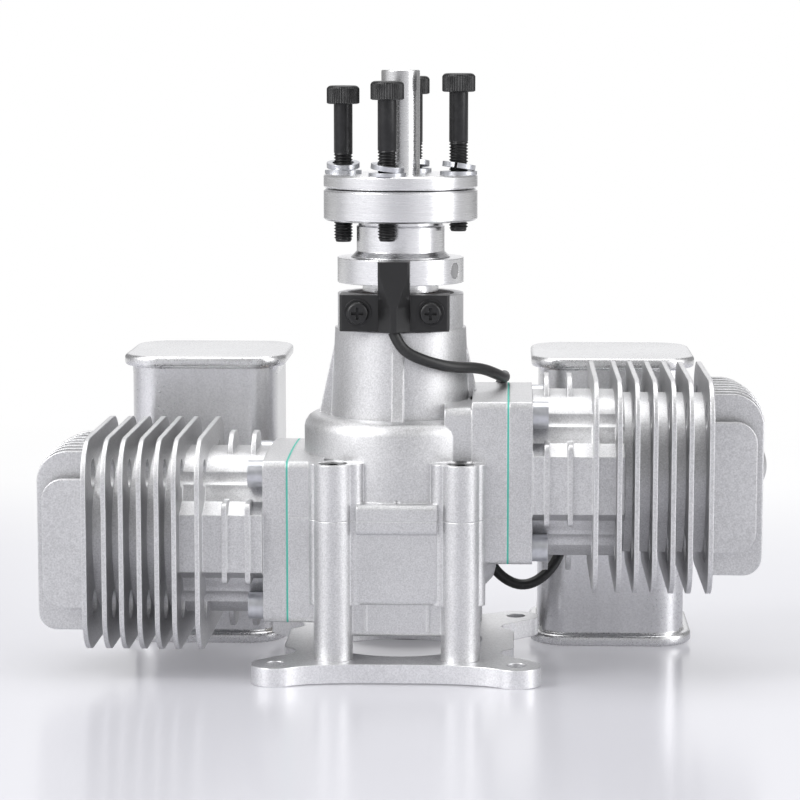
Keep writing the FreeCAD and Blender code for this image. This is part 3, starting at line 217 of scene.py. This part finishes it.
class Shader:
    """One material. node() adds any node: settings are set first, then its sockets."""

    def __init__(self, name, tree=None):
        if tree is None:
            self.material = bpy.data.materials.new(name)
            self.material.use_nodes = True
            tree = self.material.node_tree
        self.tree = tree
        self.tree.nodes.clear()

    def node(self, kind, sockets, output=0, **settings):
        node = self.tree.nodes.new(kind)
        for key, value in settings.items():
            setattr(node, key, value)
        for key, value in sockets.items():
            if isinstance(value, Value):
                self.tree.links.new(value.socket, node.inputs[key])
            else:
                node.inputs[key].default_value = value
        return Value(self, node.outputs[output]) if node.outputs else node

    def place(self):
        return self.node("ShaderNodeTexCoord", {}, "Object")

    def along(self, axis):
        """The object coordinate along X, Y or Z."""
        return self.node("ShaderNodeSeparateXYZ", {0: self.place()}, axis)

    def noise(self, scale, detail=2.0, roughness=0.5, stretch=(1, 1, 1)):
        where = self.node("ShaderNodeMapping", {"Vector": self.place(), "Scale": stretch})
        return self.node("ShaderNodeTexNoise", {"Vector": where, "Scale": scale, "Detail": detail,
                                                "Roughness": roughness}, "Fac")

    def step(self, value, low, high):
        """0 below low, 1 above high and smooth between."""
        return self.node("ShaderNodeMapRange", {"Value": value, "From Min": low, "From Max": high},
                         interpolation_type="SMOOTHSTEP")

    def mix(self, factor, first, second):
        return self.node("ShaderNodeMix", {0: factor, 6: first, 7: second}, 2, data_type="RGBA")

    def edge(self, width):
        """(rounded normal, mask of the edges): the mask is how far the rounded normal leans."""
        rounded = self.node("ShaderNodeBevel", {"Radius": width}, samples=BEVEL_SAMPLES)
        flat = self.node("ShaderNodeNewGeometry", {}, "Normal")
        lean = self.node("ShaderNodeVectorMath", {0: rounded, 1: flat}, "Value",
                         operation="DOT_PRODUCT")
        return rounded, self.step(1 - lean, 0.01, 0.14)

    def bump(self, height, strength, distance, normal=None):
        sockets = {"Height": height, "Strength": strength, "Distance": distance}
        if normal is not None:
            sockets["Normal"] = normal
        return self.node("ShaderNodeBump", sockets)

    def finish(self, **sockets):
        """The surface itself; underscores in a socket's name stand for spaces."""
        named = {key.replace("_", " "): value for key, value in sockets.items()}
        surface = self.node("ShaderNodeBsdfPrincipled", named)
        self.node("ShaderNodeOutputMaterial", {"Surface": surface})
        return self.material


def grey(level, tint=0.0):
    return (level, level, level * (1 + tint), 1.0)


def blasted_metal(name, level, tint, rough, grain=1.0, edge_width=0.5 * MM, edge_highlight=0.10, streaks=0.0):
    """Bead-blasted or pressed metal: fine sparkle, soft clouds and a painted highlight on its
    edges.

    level is its grey, grain the depth of its texture, edge_highlight how bright the highlight
    painted on its edges is, and streaks how strong the marks along Z are.
    """
    s = Shader(name)
    normal, edges = s.edge(edge_width)
    speck = s.noise(2600, 2.0, 0.6)
    fine = s.noise(1200, 3.0, 0.65)
    cloud = s.noise(38, 3.0, 0.55)
    tone = 0.84 + fine * 0.16 + cloud * 0.16 + (speck - 0.5) * 0.3 * grain
    if streaks:
        tone = tone + (s.noise(240, 2.0, 0.5, (1, 1, 0.06)) - 0.5) * streaks
    dark, bright = grey(level * 0.78, tint), grey(min(1.0, level * 1.12), tint)
    shade = s.mix(s.step(tone, 0.86, 1.14), dark, bright)
    # Painted highlight: the edges are brightened in the base colour.
    colour = s.mix(edges * edge_highlight * 4, shade, grey(min(1.0, level * 1.35), tint))
    height = speck * 0.5 + fine * 0.5
    return s.finish(Base_Color=colour, Metallic=1.0,
                    Roughness=rough + (fine - 0.5) * 0.14 + (cloud - 0.5) * 0.08 - edges * 0.06,
                    Normal=s.bump(height, 0.32 * grain, 0.10 * MM, normal))


def turned_metal(name, level, rough, tint=0.0, pitch=0.22 * MM, groove=0.25):
    """Metal turned about Z: fine rings one above the other over a smooth shine."""
    s = Shader(name)
    normal, edges = s.edge(0.3 * MM)
    rings = s.noise(1 / pitch, 2.0, 0.7, (0.02, 0.02, 1))
    wide = s.noise(60, 2.0, 0.5)
    dark, bright = grey(level * 0.86, tint), grey(min(1.0, level * 1.1), tint)
    shade = s.mix(rings * 0.6 + wide * 0.4, dark, bright)
    # Painted highlight: the edges are brightened in the base colour.
    colour = s.mix(edges * 0.4, shade, grey(min(1.0, level * 1.3), tint))
    return s.finish(Base_Color=colour, Metallic=1.0,
                    Roughness=rough + (rings - 0.5) * 0.16 + (wide - 0.5) * 0.06,
                    Normal=s.bump(rings, groove, 0.02 * MM, normal))


def black_oxide(name):
    """Black screw steel: edges lighter in patches, partly wear and partly a painted highlight."""
    s = Shader(name)
    normal, edges = s.edge(0.15 * MM)
    blotch = s.noise(420, 3.0, 0.6)
    fine = s.noise(3000, 2.0, 0.6)
    shade = s.mix(blotch, grey(0.020, 0.03), grey(0.052, 0.02))
    colour = s.mix(edges * 0.55 * s.step(blotch, 0.35, 0.6), shade, grey(0.16, 0.0))
    return s.finish(Base_Color=colour, Metallic=0.75, Roughness=0.25 + blotch * 0.16,
                    Normal=s.bump(fine, 0.25, 0.03 * MM, normal))


def zinc_plate(name):
    """Zinc-plated steel: cool and bright, with cloudy crystals."""
    s = Shader(name)
    normal, edges = s.edge(0.15 * MM)
    crystal = s.node("ShaderNodeTexVoronoi", {"Vector": s.place(), "Scale": 700}, "Distance")
    cloud = s.noise(260, 3.0, 0.6)
    shade = s.mix(cloud * 0.6 + crystal * 0.4, (0.42, 0.43, 0.46, 1), (0.72, 0.73, 0.76, 1))
    # Painted highlight: the edges are brightened in the base colour.
    colour = s.mix(edges * 0.5, shade, grey(0.85, 0.02))
    return s.finish(Base_Color=colour, Metallic=1.0, Roughness=0.24 + cloud * 0.16,
                    Normal=s.bump(crystal, 0.12, 0.03 * MM, normal))


def gasket_sheet(name):
    """Pressed green fibre sheet."""
    s = Shader(name)
    fibres = s.noise(1500, 3.0, 0.7, (1, 0.3, 1))
    patches = s.noise(90, 2.0, 0.5)
    colour = s.mix(fibres * 0.6 + patches * 0.4, (0.05, 0.33, 0.27, 1), (0.12, 0.55, 0.45, 1))
    return s.finish(Base_Color=colour, Roughness=0.6 + fibres * 0.2,
                    Normal=s.bump(fibres, 0.4, 0.05 * MM))


def moulded_black(name):
    """Moulded black plastic with a fine spark texture."""
    s = Shader(name)
    level = 0.008
    normal, edges = s.edge(0.25 * MM)
    texture = s.noise(1900, 3.0, 0.65)
    rub = s.noise(150, 3.0, 0.6)
    # Random patches lighten the black, and the edges share is a painted highlight.
    colour = s.mix(rub * 0.6 + edges * 0.3, grey(level, 0.03), grey(level * 2.4, 0.03))
    return s.finish(Base_Color=colour, Roughness=0.22 + texture * 0.14 + rub * 0.06,
                    Normal=s.bump(texture, 0.3, 0.05 * MM, normal))


def cable_jacket(name):
    """Soft black cable jacket with faint extrusion lines and a little dust."""
    s = Shader(name)
    dust = s.noise(900, 3.0, 0.7)
    waves = s.noise(160, 2.0, 0.5)
    colour = s.mix(s.step(dust, 0.5, 0.8) * 0.5 + waves * 0.2, grey(0.010, 0.03), grey(0.050, 0.03))
    return s.finish(Base_Color=colour, Roughness=0.30 + dust * 0.16 + waves * 0.05,
                    Normal=s.bump(waves, 0.25, 0.08 * MM))


def glazed_ceramic(name):
    """White glazed insulator with faint speckles."""
    s = Shader(name)
    speck = s.noise(1100, 2.0, 0.6)
    cloud = s.noise(120, 2.0, 0.5)
    colour = s.mix(s.step(speck, 0.66, 0.74) * 0.5 + cloud * 0.15, (0.86, 0.85, 0.82, 1),
                   (0.62, 0.58, 0.52, 1))
    return s.finish(Base_Color=colour, Roughness=0.12 + cloud * 0.08,
                    Normal=s.bump(cloud, 0.06, 0.05 * MM))


def pressed_phenolic(name):
    """Brown heat-insulating board with fibres."""
    s = Shader(name)
    fibres = s.noise(700, 4.0, 0.7, (0.2, 1, 1))
    colour = s.mix(fibres, (0.060, 0.022, 0.010, 1), (0.19, 0.085, 0.038, 1))
    return s.finish(Base_Color=colour, Roughness=0.42 + fibres * 0.2,
                    Normal=s.bump(fibres, 0.3, 0.05 * MM))


def turned_brass(name):
    """Turned brass with cloudy tarnish."""
    s = Shader(name)
    normal, edges = s.edge(0.15 * MM)
    rings = s.noise(4000, 2.0, 0.6, (1, 0.05, 0.05))
    tarnish = s.noise(300, 3.0, 0.6)
    shade = s.mix(tarnish, (0.62, 0.42, 0.16, 1), (0.86, 0.66, 0.30, 1))
    # Painted highlight: the edges are brightened in the base colour.
    colour = s.mix(edges * 0.4, shade, (0.95, 0.80, 0.46, 1))
    return s.finish(Base_Color=colour, Metallic=1.0, Roughness=0.20 + tarnish * 0.2,
                    Normal=s.bump(rings, 0.15, 0.02 * MM, normal))


def seal_rubber(name):
    """Dull brown seal rubber."""
    s = Shader(name)
    fine = s.noise(1500, 3.0, 0.6)
    colour = s.mix(fine, (0.030, 0.014, 0.010, 1), (0.075, 0.040, 0.030, 1))
    return s.finish(Base_Color=colour, Roughness=0.55 + fine * 0.15,
                    Normal=s.bump(fine, 0.3, 0.05 * MM))


# One finish for each material slot of the frame
FINISHES = {
    "cast_aluminium": blasted_metal("blasted casting", 0.68, 0.012, 0.46, 1.3),
    "machined_aluminium": turned_metal("turned aluminium", 0.84, 0.26, 0.012),
    "bright_steel": turned_metal("ground steel", 0.63, 0.27, 0.0, pitch=0.12 * MM, groove=0.12),
    "black_steel": black_oxide("black screw steel"),
    "zinc_steel": zinc_plate("zinc plating"),
    "muffler_steel": blasted_metal("muffler sheet", 0.76, 0.02, 0.30, 0.7, 0.8 * MM, 0.06, 0.10),
    "gasket": gasket_sheet("green gasket"),
    "black_plastic": moulded_black("sensor plastic"),
    "lead": cable_jacket("cable jacket"),
    "ceramic": glazed_ceramic("plug ceramic"),
    "phenolic": pressed_phenolic("insulating board"),
    "carb_zinc": blasted_metal("die-cast zinc", 0.42, 0.02, 0.38, 0.6, 0.4 * MM),
    "seal_rubber": seal_rubber("seal rubber"),
    "brass": turned_brass("brass fittings"),
    "magnet": turned_metal("nickel plating", 0.45, 0.20, 0.02),
}
# The caps are the muffler sheet a little brighter: the extra brightness is a painted reflection of
# the white backdrop.
CAP_FINISH_PAINTED_REFLECTION = blasted_metal("pressed cap with painted reflection", 0.77, 0.01, 0.28, 1.0, 0.5 * MM, 0.04)
PLATE_FINISH = blasted_metal("milled plate", 0.86, 0.012, 0.40, 0.9, 0.35 * MM, 0.08)

for entry in frame["record"]["subparts"]:
    node = frame["nodes"][entry["node"]]
    node.data.materials.clear()
    node.data.materials.append(FINISHES[entry["material_slot"]])
frame["nodes"]["mount_plate"].data.materials[0] = PLATE_FINISH

# The visible pieces whose curved faces are shaded smooth
SMOOTH = (
    "mount_plate", "rear_case", "front_case", "left_cylinder", "right_cylinder", "left_muffler",
    "right_muffler", "prop_hub", "prop_washer", "crank_front_shaft", "timing_collar",
    "timing_magnet", "flat_washers", "sensor_housing", "sensor_washers", "cylinder_screws",
    "case_bolts", "plug_shells", "plug_insulators", "plug_terminals", "fuel_nipple",
)


def smooth_copy(name):
    """A copy of a CAD node with its doubles merged and its curved faces shaded smooth."""
    node = frame["nodes"][name]
    mesh = node.data.copy()
    if "custom_normal" in mesh.attributes:
        mesh.attributes.remove(mesh.attributes["custom_normal"])
    finished_piece(name + "_smooth", mesh, body_of(node)[0], node.data.materials[0],
                   [name], CAD_CREASE)


for node_name in SMOOTH:
    smooth_copy(node_name)


# The timing sensor's lead: its chosen route, its put-away turns and its connector

LEAD_DIAMETER = 2.9 * MM
LEAD_ROUTE = np.array([
    (-1.0, -20.0, 88.5), (0.6, -20.6, 84.4), (5.8, -20.4, 81.6), (13.4, -17.0, 79.2),
    (20.8, -9.4, 78.4), (25.4, -0.4, 75.6), (27.4, 9.0, 73.4), (27.0, 20.0, 73.4),
    (25.4, 28.8, 67.0), (23.2, 29.8, 54.0), (21.4, 29.5, 40.5), (21.0, 29.2, 28.0),
    (24.2, 29.1, 17.4), (33.0, 29.6, 12.4), (41.6, 32.4, 18.2), (44.6, 38.0, 28.2),
    (39.8, 43.0, 36.6),
    (30.2, 44.6, 40.0), (22.4, 43.6, 33.2), (19.8, 42.4, 21.4), (19.4, 42.0, 9.0),
    (18.6, 46.6, -1.6), (17.6, 56.4, -6.2), (17.45, 65.0, -7.04),
]) * MM
COIL_CENTRE = np.array((0.0, 71.0)) * MM
COIL_OUTER_R = 17.45 * MM
COIL_TURNS = 510 / 360
COIL_STEPS = 24
LEAD_LIFT = LEAD_DIAMETER / 2 + 0.1 * MM
TAIL = np.array([(-13.4, 71.6), (-10.4, 68.2), (-5.6, 67.8), (-2.6, 67.8)]) * MM


def on_floor(flat):
    """Points (x, y) on the floor, raised by half a lead."""
    return np.column_stack([flat, floor_z(flat[:, 1]) + LEAD_LIFT])


def coil_points():
    """A spiral: the radius falls by one diameter a turn, from the outer turn inwards."""
    angle = np.linspace(0, COIL_TURNS * FULL_TURN, COIL_STEPS + 1)[1:]
    radius = COIL_OUTER_R - LEAD_DIAMETER * angle / FULL_TURN
    out = radius / math.cos(angle[0] / 2)
    flat = COIL_CENTRE + np.column_stack([out * np.cos(angle), out * np.sin(angle)])
    return on_floor(flat)


def lead():
    """A quadratic NURBS tube along the route, round the put-away turns and into the connector."""
    points = np.concatenate([LEAD_ROUTE, coil_points(), on_floor(TAIL)])
    curve = bpy.data.curves.new("sensor_cable", "CURVE")
    curve.dimensions = "3D"
    curve.bevel_depth = LEAD_DIAMETER / 2
    curve.bevel_resolution = 5
    curve.resolution_u = 10
    curve.use_fill_caps = True
    spline = curve.splines.new("NURBS")
    spline.points.add(len(points) - 1)
    spline.points.foreach_set("co", np.column_stack([points, np.ones(len(points))]).ravel())
    spline.order_u = 3
    spline.use_endpoint_u = True
    piece = bpy.data.objects.new("sensor_cable", curve)
    bpy.context.collection.objects.link(piece)
    curve.materials.append(FINISHES["lead"])
    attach(piece, "engine")
    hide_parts("sensor_lead", "lead_coil")
    return piece


CONNECTOR_START = np.array((-5.2, 67.8)) * MM
CONNECTOR_LENGTH = 13.6 * MM
CONNECTOR_HALF_W = 3.8 * MM
CONNECTOR_H = 2.9 * MM
CONNECTOR_CHAMFER = 0.5 * MM
CONNECTOR_STATIONS = ((0, 0.0), (0, 0.62), (0.4, 0.80), (2.2, 0.84), (2.6, 0.97), (10.4, 0.97),
                      (10.6, 1.0), (13.3, 1.0), (13.6, 0.95))
PIN_PITCH = 2.54 * MM
PIN_MOUTH_HALF = 0.62 * MM
LATCH_X0, LATCH_X1 = 6.4 * MM, 9.0 * MM
LATCH_HALF_W = 0.55 * MM


def tray(x0, x1, y0, y1, z_rim, z_bottom):
    """A thin rectangular inset as a grid: rows from its rim to the middle of its face."""
    loop = np.array([(x0, y0), (x1, y0), (x1, y1), (x0, y1)])
    middle = loop.mean(axis=0)
    rows = []
    for share, z in ((1, z_rim), (0.94, z_bottom), (0, z_bottom)):
        flat = middle + (loop - middle) * share
        rows.append(np.column_stack([flat, np.full(4, z)]))
    return np.array(rows)


def connector():
    """Three-pin connector: a chamfered shell with a raised rim, three pin mouths and latch slots.

    The shell is its end profile at the stations (x in mm, share of the profile's size). It is built
    lying on z = 0 and then laid on the sloping floor, at the lead's inner end.
    """
    w, h, length, c = CONNECTOR_HALF_W, CONNECTOR_H, CONNECTOR_LENGTH, CONNECTOR_CHAMFER
    profile = np.array([(-w + c, 0), (w - c, 0), (w, c), (w, h - 2 * c), (w - 2 * c, h),
                        (-w + 2 * c, h), (-w, h - 2 * c), (-w, c)])
    centre = np.array([0, h / 2])
    rows = []
    for x, share in CONNECTOR_STATIONS:
        ring = centre + (profile - centre) * share
        rows.append(np.column_stack([np.full(8, x * MM), ring]))
    shell, mouths = Pile(), Pile()
    shell.grid(np.array(rows))
    face = np.column_stack([np.full(8, length), centre + (profile - centre) * 0.95])
    shell.grid(np.array([face, np.tile([length, 0, h / 2], (8, 1))]))
    for i in (-1, 0, 1):
        y = i * PIN_PITCH
        mouth = tray(y - PIN_MOUTH_HALF, y + PIN_MOUTH_HALF, h / 2 - PIN_MOUTH_HALF,
                     h / 2 + PIN_MOUTH_HALF, 0.02 * MM, 0.04 * MM)
        mouths.grid(mouth[:, :, [2, 0, 1]] + (length, 0, 0))
        slot = tray(LATCH_X0, LATCH_X1, y - LATCH_HALF_W, y + LATCH_HALF_W,
                    h * 0.985 + 0.01 * MM, h * 0.985 + 0.03 * MM)
        mouths.grid(slot)
    slope = math.atan(FLOOR_SLOPE)
    lean = np.array([[1, 0, 0], [0, math.cos(slope), -math.sin(slope)],
                     [0, math.sin(slope), math.cos(slope)]])
    place = np.array([*CONNECTOR_START, floor_z(CONNECTOR_START[1]) + 0.1 * MM])
    for pile in (shell, mouths):
        pile.points = [points @ lean + place for points in pile.points]
    body = shell.piece("connector_shell", "engine", "black_plastic", FINISHES["black_plastic"],
                       ["lead_plug"])
    contacts = mouths.piece("connector_contacts", "engine", "brass", FINISHES["brass"])
    return [body, contacts]


cable = lead()
connector()


# Propeller bolts: knurled head, hexagon socket, plain neck and rolled thread

BOLT_SHANK_R = 2.45 * MM
BOLT_ROOT_R = 2.06 * MM
BOLT_PITCH = 0.8 * MM
BOLT_LENGTH = 35.8 * MM
BOLT_NECK = 12.5 * MM
BOLT_HEAD_R = 4.27 * MM
BOLT_HEAD_H = 4.8 * MM
BOLT_KEY_R = 2.0 * MM
BOLT_KEY_DEPTH = 2.6 * MM
KNURLS = 44
KNURL_DEPTH = 0.17 * MM
BOLT_CIRCLE = 15.34 * MM
BOLT_TURN = 10.48
BOLT_SPIN_STEP = 0.9
UNDER_HEADS = (145.8, 147.1, 149.0, 148.2)


def bolt_head(columns=KNURLS * 4):
    """Rows run from the neck, round the knurled rim and down into the hexagon socket.

    Knurled rows have radius r - depth * |triangle wave of the angle|; socket rows have the
    hexagon's radius a / cos(angle from the nearest flat's middle).
    """
    angle = np.linspace(0, FULL_TURN, columns, endpoint=False)
    wave = np.abs(((angle * KNURLS / FULL_TURN) % 1) * 2 - 1)
    knurl = KNURL_DEPTH * wave
    hexagon = BOLT_KEY_R / np.cos((angle + math.pi / 6) % (math.pi / 3) - math.pi / 6)
    flat = np.ones(columns)
    r, h = BOLT_HEAD_R, BOLT_HEAD_H
    rows = [
        (BOLT_SHANK_R * flat, 0), ((r - 0.5 * MM) * flat, 0), ((r - 0.12 * MM) * flat, 0.16 * MM),
        (r - knurl * 0.3, 0.30 * MM), (r - knurl, 0.5 * MM), (r - knurl, h - 0.9 * MM),
        (r - 0.10 * MM - knurl * 0.3, h - 0.66 * MM), ((r - 0.26 * MM) * flat, h - 0.42 * MM),
        ((r - 0.55 * MM) * flat, h - 0.18 * MM), ((r - 0.95 * MM) * flat, h - 0.04 * MM),
        ((r - 1.3 * MM) * flat, h),
        (hexagon + 0.25 * MM, h), (hexagon, h - 0.2 * MM), (hexagon, h - BOLT_KEY_DEPTH),
        (0.6 * hexagon, h - BOLT_KEY_DEPTH - 0.1 * MM), (0 * flat, h - BOLT_KEY_DEPTH - 0.5 * MM),
    ]
    return turned([row[0] for row in rows], [row[1] for row in rows], columns)


def thread(root, crest, pitch, z_top, z_end, columns=32, steps=8):
    """Radius root + (crest - root) * triangle wave of (z / pitch - angle / full turn).

    The wave runs out into the neck over the first pitch and fades away over the last.
    """
    rows = int(round((z_top - z_end) / pitch * steps))
    z = np.linspace(z_top, z_end, rows + 1)[:, None]
    turn = np.arange(columns)[None, :] / columns
    wave = np.abs(((z / pitch - turn) % 1) * 2 - 1)
    fade = np.clip(np.minimum((z_top - z) / pitch, (z - z_end) / pitch), 0, 1)
    flank = np.clip(wave * 1.5 - 0.25, 0, 1)
    share = np.where(z_top - z < pitch, 1 - fade * (1 - flank), flank * fade)
    return root + (crest - root) * share, z


def bolt_shank():
    """A plain neck, the thread and a flat end."""
    radius, z = thread(BOLT_ROOT_R, BOLT_SHANK_R, BOLT_PITCH, -BOLT_NECK, -BOLT_LENGTH + 0.3 * MM)
    columns = radius.shape[1]
    flat = np.ones(columns)
    radii = np.concatenate([[BOLT_SHANK_R * flat], radius, [BOLT_ROOT_R * 0.9 * flat], [0 * flat]])
    heights = np.concatenate([[[0.0]], z, [[-BOLT_LENGTH]], [[-BOLT_LENGTH]]])
    return turned(radii, heights, columns)


def prop_bolts():
    """Four bolts on their circle, standing at their own heights, each turned a little further."""
    pile = Pile()
    for i, seat in enumerate(UNDER_HEADS):
        turn = math.radians(180 - BOLT_TURN + 90 * i)
        place = np.array([BOLT_CIRCLE * math.cos(turn), BOLT_CIRCLE * math.sin(turn), seat * MM])
        spin = BOLT_SPIN_STEP * i
        c, s = math.cos(spin), math.sin(spin)
        rotate = np.array([[c, s, 0], [-s, c, 0], [0, 0, 1]])
        pile.grid(bolt_head() @ rotate + place)
        pile.grid(bolt_shank() @ rotate + place)
    pile.piece("propeller_bolts", "crank_group", "black_steel", FINISHES["black_steel"],
               ["prop_bolts"])


prop_bolts()


# Muffler caps with their rolled rims

CAP_CENTRE_X = 57.6 * MM
CAP_CENTRE_Y = 68.25 * MM
CAP_HALF = 20.6 * MM
CAP_CORNER = 8.0 * MM
CAP_LEVELS = ((74.7, 1), (-7.0, -1))
CAP_RIM = [(-1.6, -5.6), (0.06, -5.6), (0.10, -3.7), (0.3, -3.35), (0.8, -3.2), (1.5, -3.15),
           (1.95, -2.95), (2.22, -2.55), (2.30, -2.1), (2.30, -1.0), (2.20, -0.55), (1.9, -0.2),
           (1.4, -0.02), (0.7, 0.0), (-0.3, -0.03), (-1.3, -0.15), (-2.6, -0.2), (-4.0, -0.2)]


def muffler_caps():
    """A rim profile (outward offset, height) carried round a rounded square, and a flat middle."""
    pile = Pile()
    for side in (-1, 1):
        for level, up in CAP_LEVELS:
            rows = []
            for offset, height in CAP_RIM:
                path, outward = rounded_square(CAP_HALF, CAP_CORNER)
                flat = path + outward * offset * MM
                z = np.full(len(flat), (level + up * height) * MM)
                rows.append(np.column_stack([flat[:, 0] + side * CAP_CENTRE_X,
                                             flat[:, 1] + CAP_CENTRE_Y, z]))
            middle = rows[-1].mean(axis=0)
            for share in (0.5, 0.0):
                rows.append(middle + (rows[len(CAP_RIM) - 1] - middle) * share)
            pile.grid(np.array(rows))
    pile.piece("muffler_rims", "engine", "muffler_steel", CAP_FINISH_PAINTED_REFLECTION, ["muffler_caps"])


muffler_caps()


# Floor, lamps and world

def floor_material():
    """A glossy grey sweep that glows more with distance, until it is as white as the background."""
    s = Shader("studio floor")
    depth = s.along("Y")
    far = s.step(depth, 0.15, 0.9)
    mottling = s.noise(9, 2.0, 0.5)
    colour = s.mix(far, (0.60, 0.60, 0.64, 1), (0.94, 0.94, 0.95, 1))
    body = s.node("ShaderNodeBsdfPrincipled", {"Base Color": colour,
                                               "Roughness": 0.16 + mottling * 0.05})
    tint = s.mix(s.step(depth, 0.1, 0.7), (0.72, 0.715, 0.76, 1), grey(1.0))
    glow = s.node("ShaderNodeEmission", {"Color": tint, "Strength": 1.0})
    share = 0.25 + s.step(depth, 0.2, 1.3) * 0.75
    mixed = s.node("ShaderNodeMixShader", {0: share, 1: body, 2: glow})
    s.node("ShaderNodeOutputMaterial", {"Surface": mixed})
    return s.material


FLOOR_REACH = 6.0
FLOOR_GRID = 9


def floor():
    """A flat grid on the sloping plane that the engine stands on."""
    steps = np.linspace(-FLOOR_REACH, FLOOR_REACH, FLOOR_GRID)
    x, y = np.meshgrid(steps, steps, indexing="ij")
    points = np.stack([x, y, floor_z(y)], -1)
    mesh = bpy.data.meshes.new("studio_floor")
    faces = grid_faces(FLOOR_GRID, FLOOR_GRID, False)[:, ::-1]
    mesh.from_pydata(points.reshape(-1, 3).tolist(), [], faces.tolist())
    plane = bpy.data.objects.new("studio_floor", mesh)
    bpy.context.collection.objects.link(plane)
    mesh.materials.append(floor_material())


floor()


LAMP_AIM = Vector((0, 0, 0.06))


def lamp(name, place, size, watts):
    light = bpy.data.lights.new(name, "AREA")
    light.shape = "RECTANGLE"
    light.size, light.size_y = size
    light.energy = watts
    holder = bpy.data.objects.new(name, light)
    holder.location = place
    holder.rotation_euler = (LAMP_AIM - Vector(place)).to_track_quat("-Z", "Y").to_euler()
    bpy.context.collection.objects.link(holder)


lamp("key", (-0.75, -0.55, 0.75), (0.6, 0.9), 8.9)
lamp("fill", (0.95, -0.35, 0.45), (0.5, 0.9), 4.2)
lamp("top", (0.0, 0.25, 1.1), (1.0, 0.7), 5.8)

# The background is white for camera rays. All other rays meet a studio room, so that the metal
# shows its roundness: behind the engine it is white in the middle and darker to the sides, and in
# front it is darker round the camera, with bright softboxes at both sides.
ROOM_FRONT, ROOM_FRONT_RISE = 0.50, 0.62
ROOM_BEHIND, ROOM_BEHIND_FALL = 1.0, 0.66

world = bpy.data.worlds.new("studio")
bpy.context.scene.world = world
world.use_nodes = True
w = Shader("studio", world.node_tree)
rays = w.tree.nodes.new("ShaderNodeLightPath")
seen = Value(w, rays.outputs["Is Camera Ray"])
direction = w.node("ShaderNodeTexCoord", {}, "Generated")
forward = w.node("ShaderNodeSeparateXYZ", {0: direction}, "Y")
sideways = w.node("ShaderNodeMath", {0: w.node("ShaderNodeSeparateXYZ", {0: direction}, "X")},
                  operation="ABSOLUTE")
before = ROOM_FRONT + w.step(sideways, 0.12, 0.62) * ROOM_FRONT_RISE
behind = ROOM_BEHIND - w.step(sideways, 0.14, 0.34) * ROOM_BEHIND_FALL
blend = w.step(forward, -0.2, 0.3)
room = before * (1 - blend) + behind * blend
level = w.mix(seen, w.node("ShaderNodeCombineColor", {0: room, 1: room, 2: room * 1.01}), grey(1.0))
backdrop = w.node("ShaderNodeBackground", {"Color": level, "Strength": 1.0})
w.node("ShaderNodeOutputWorld", {"Surface": backdrop})

bpy.context.scene.view_settings.view_transform = "Standard"
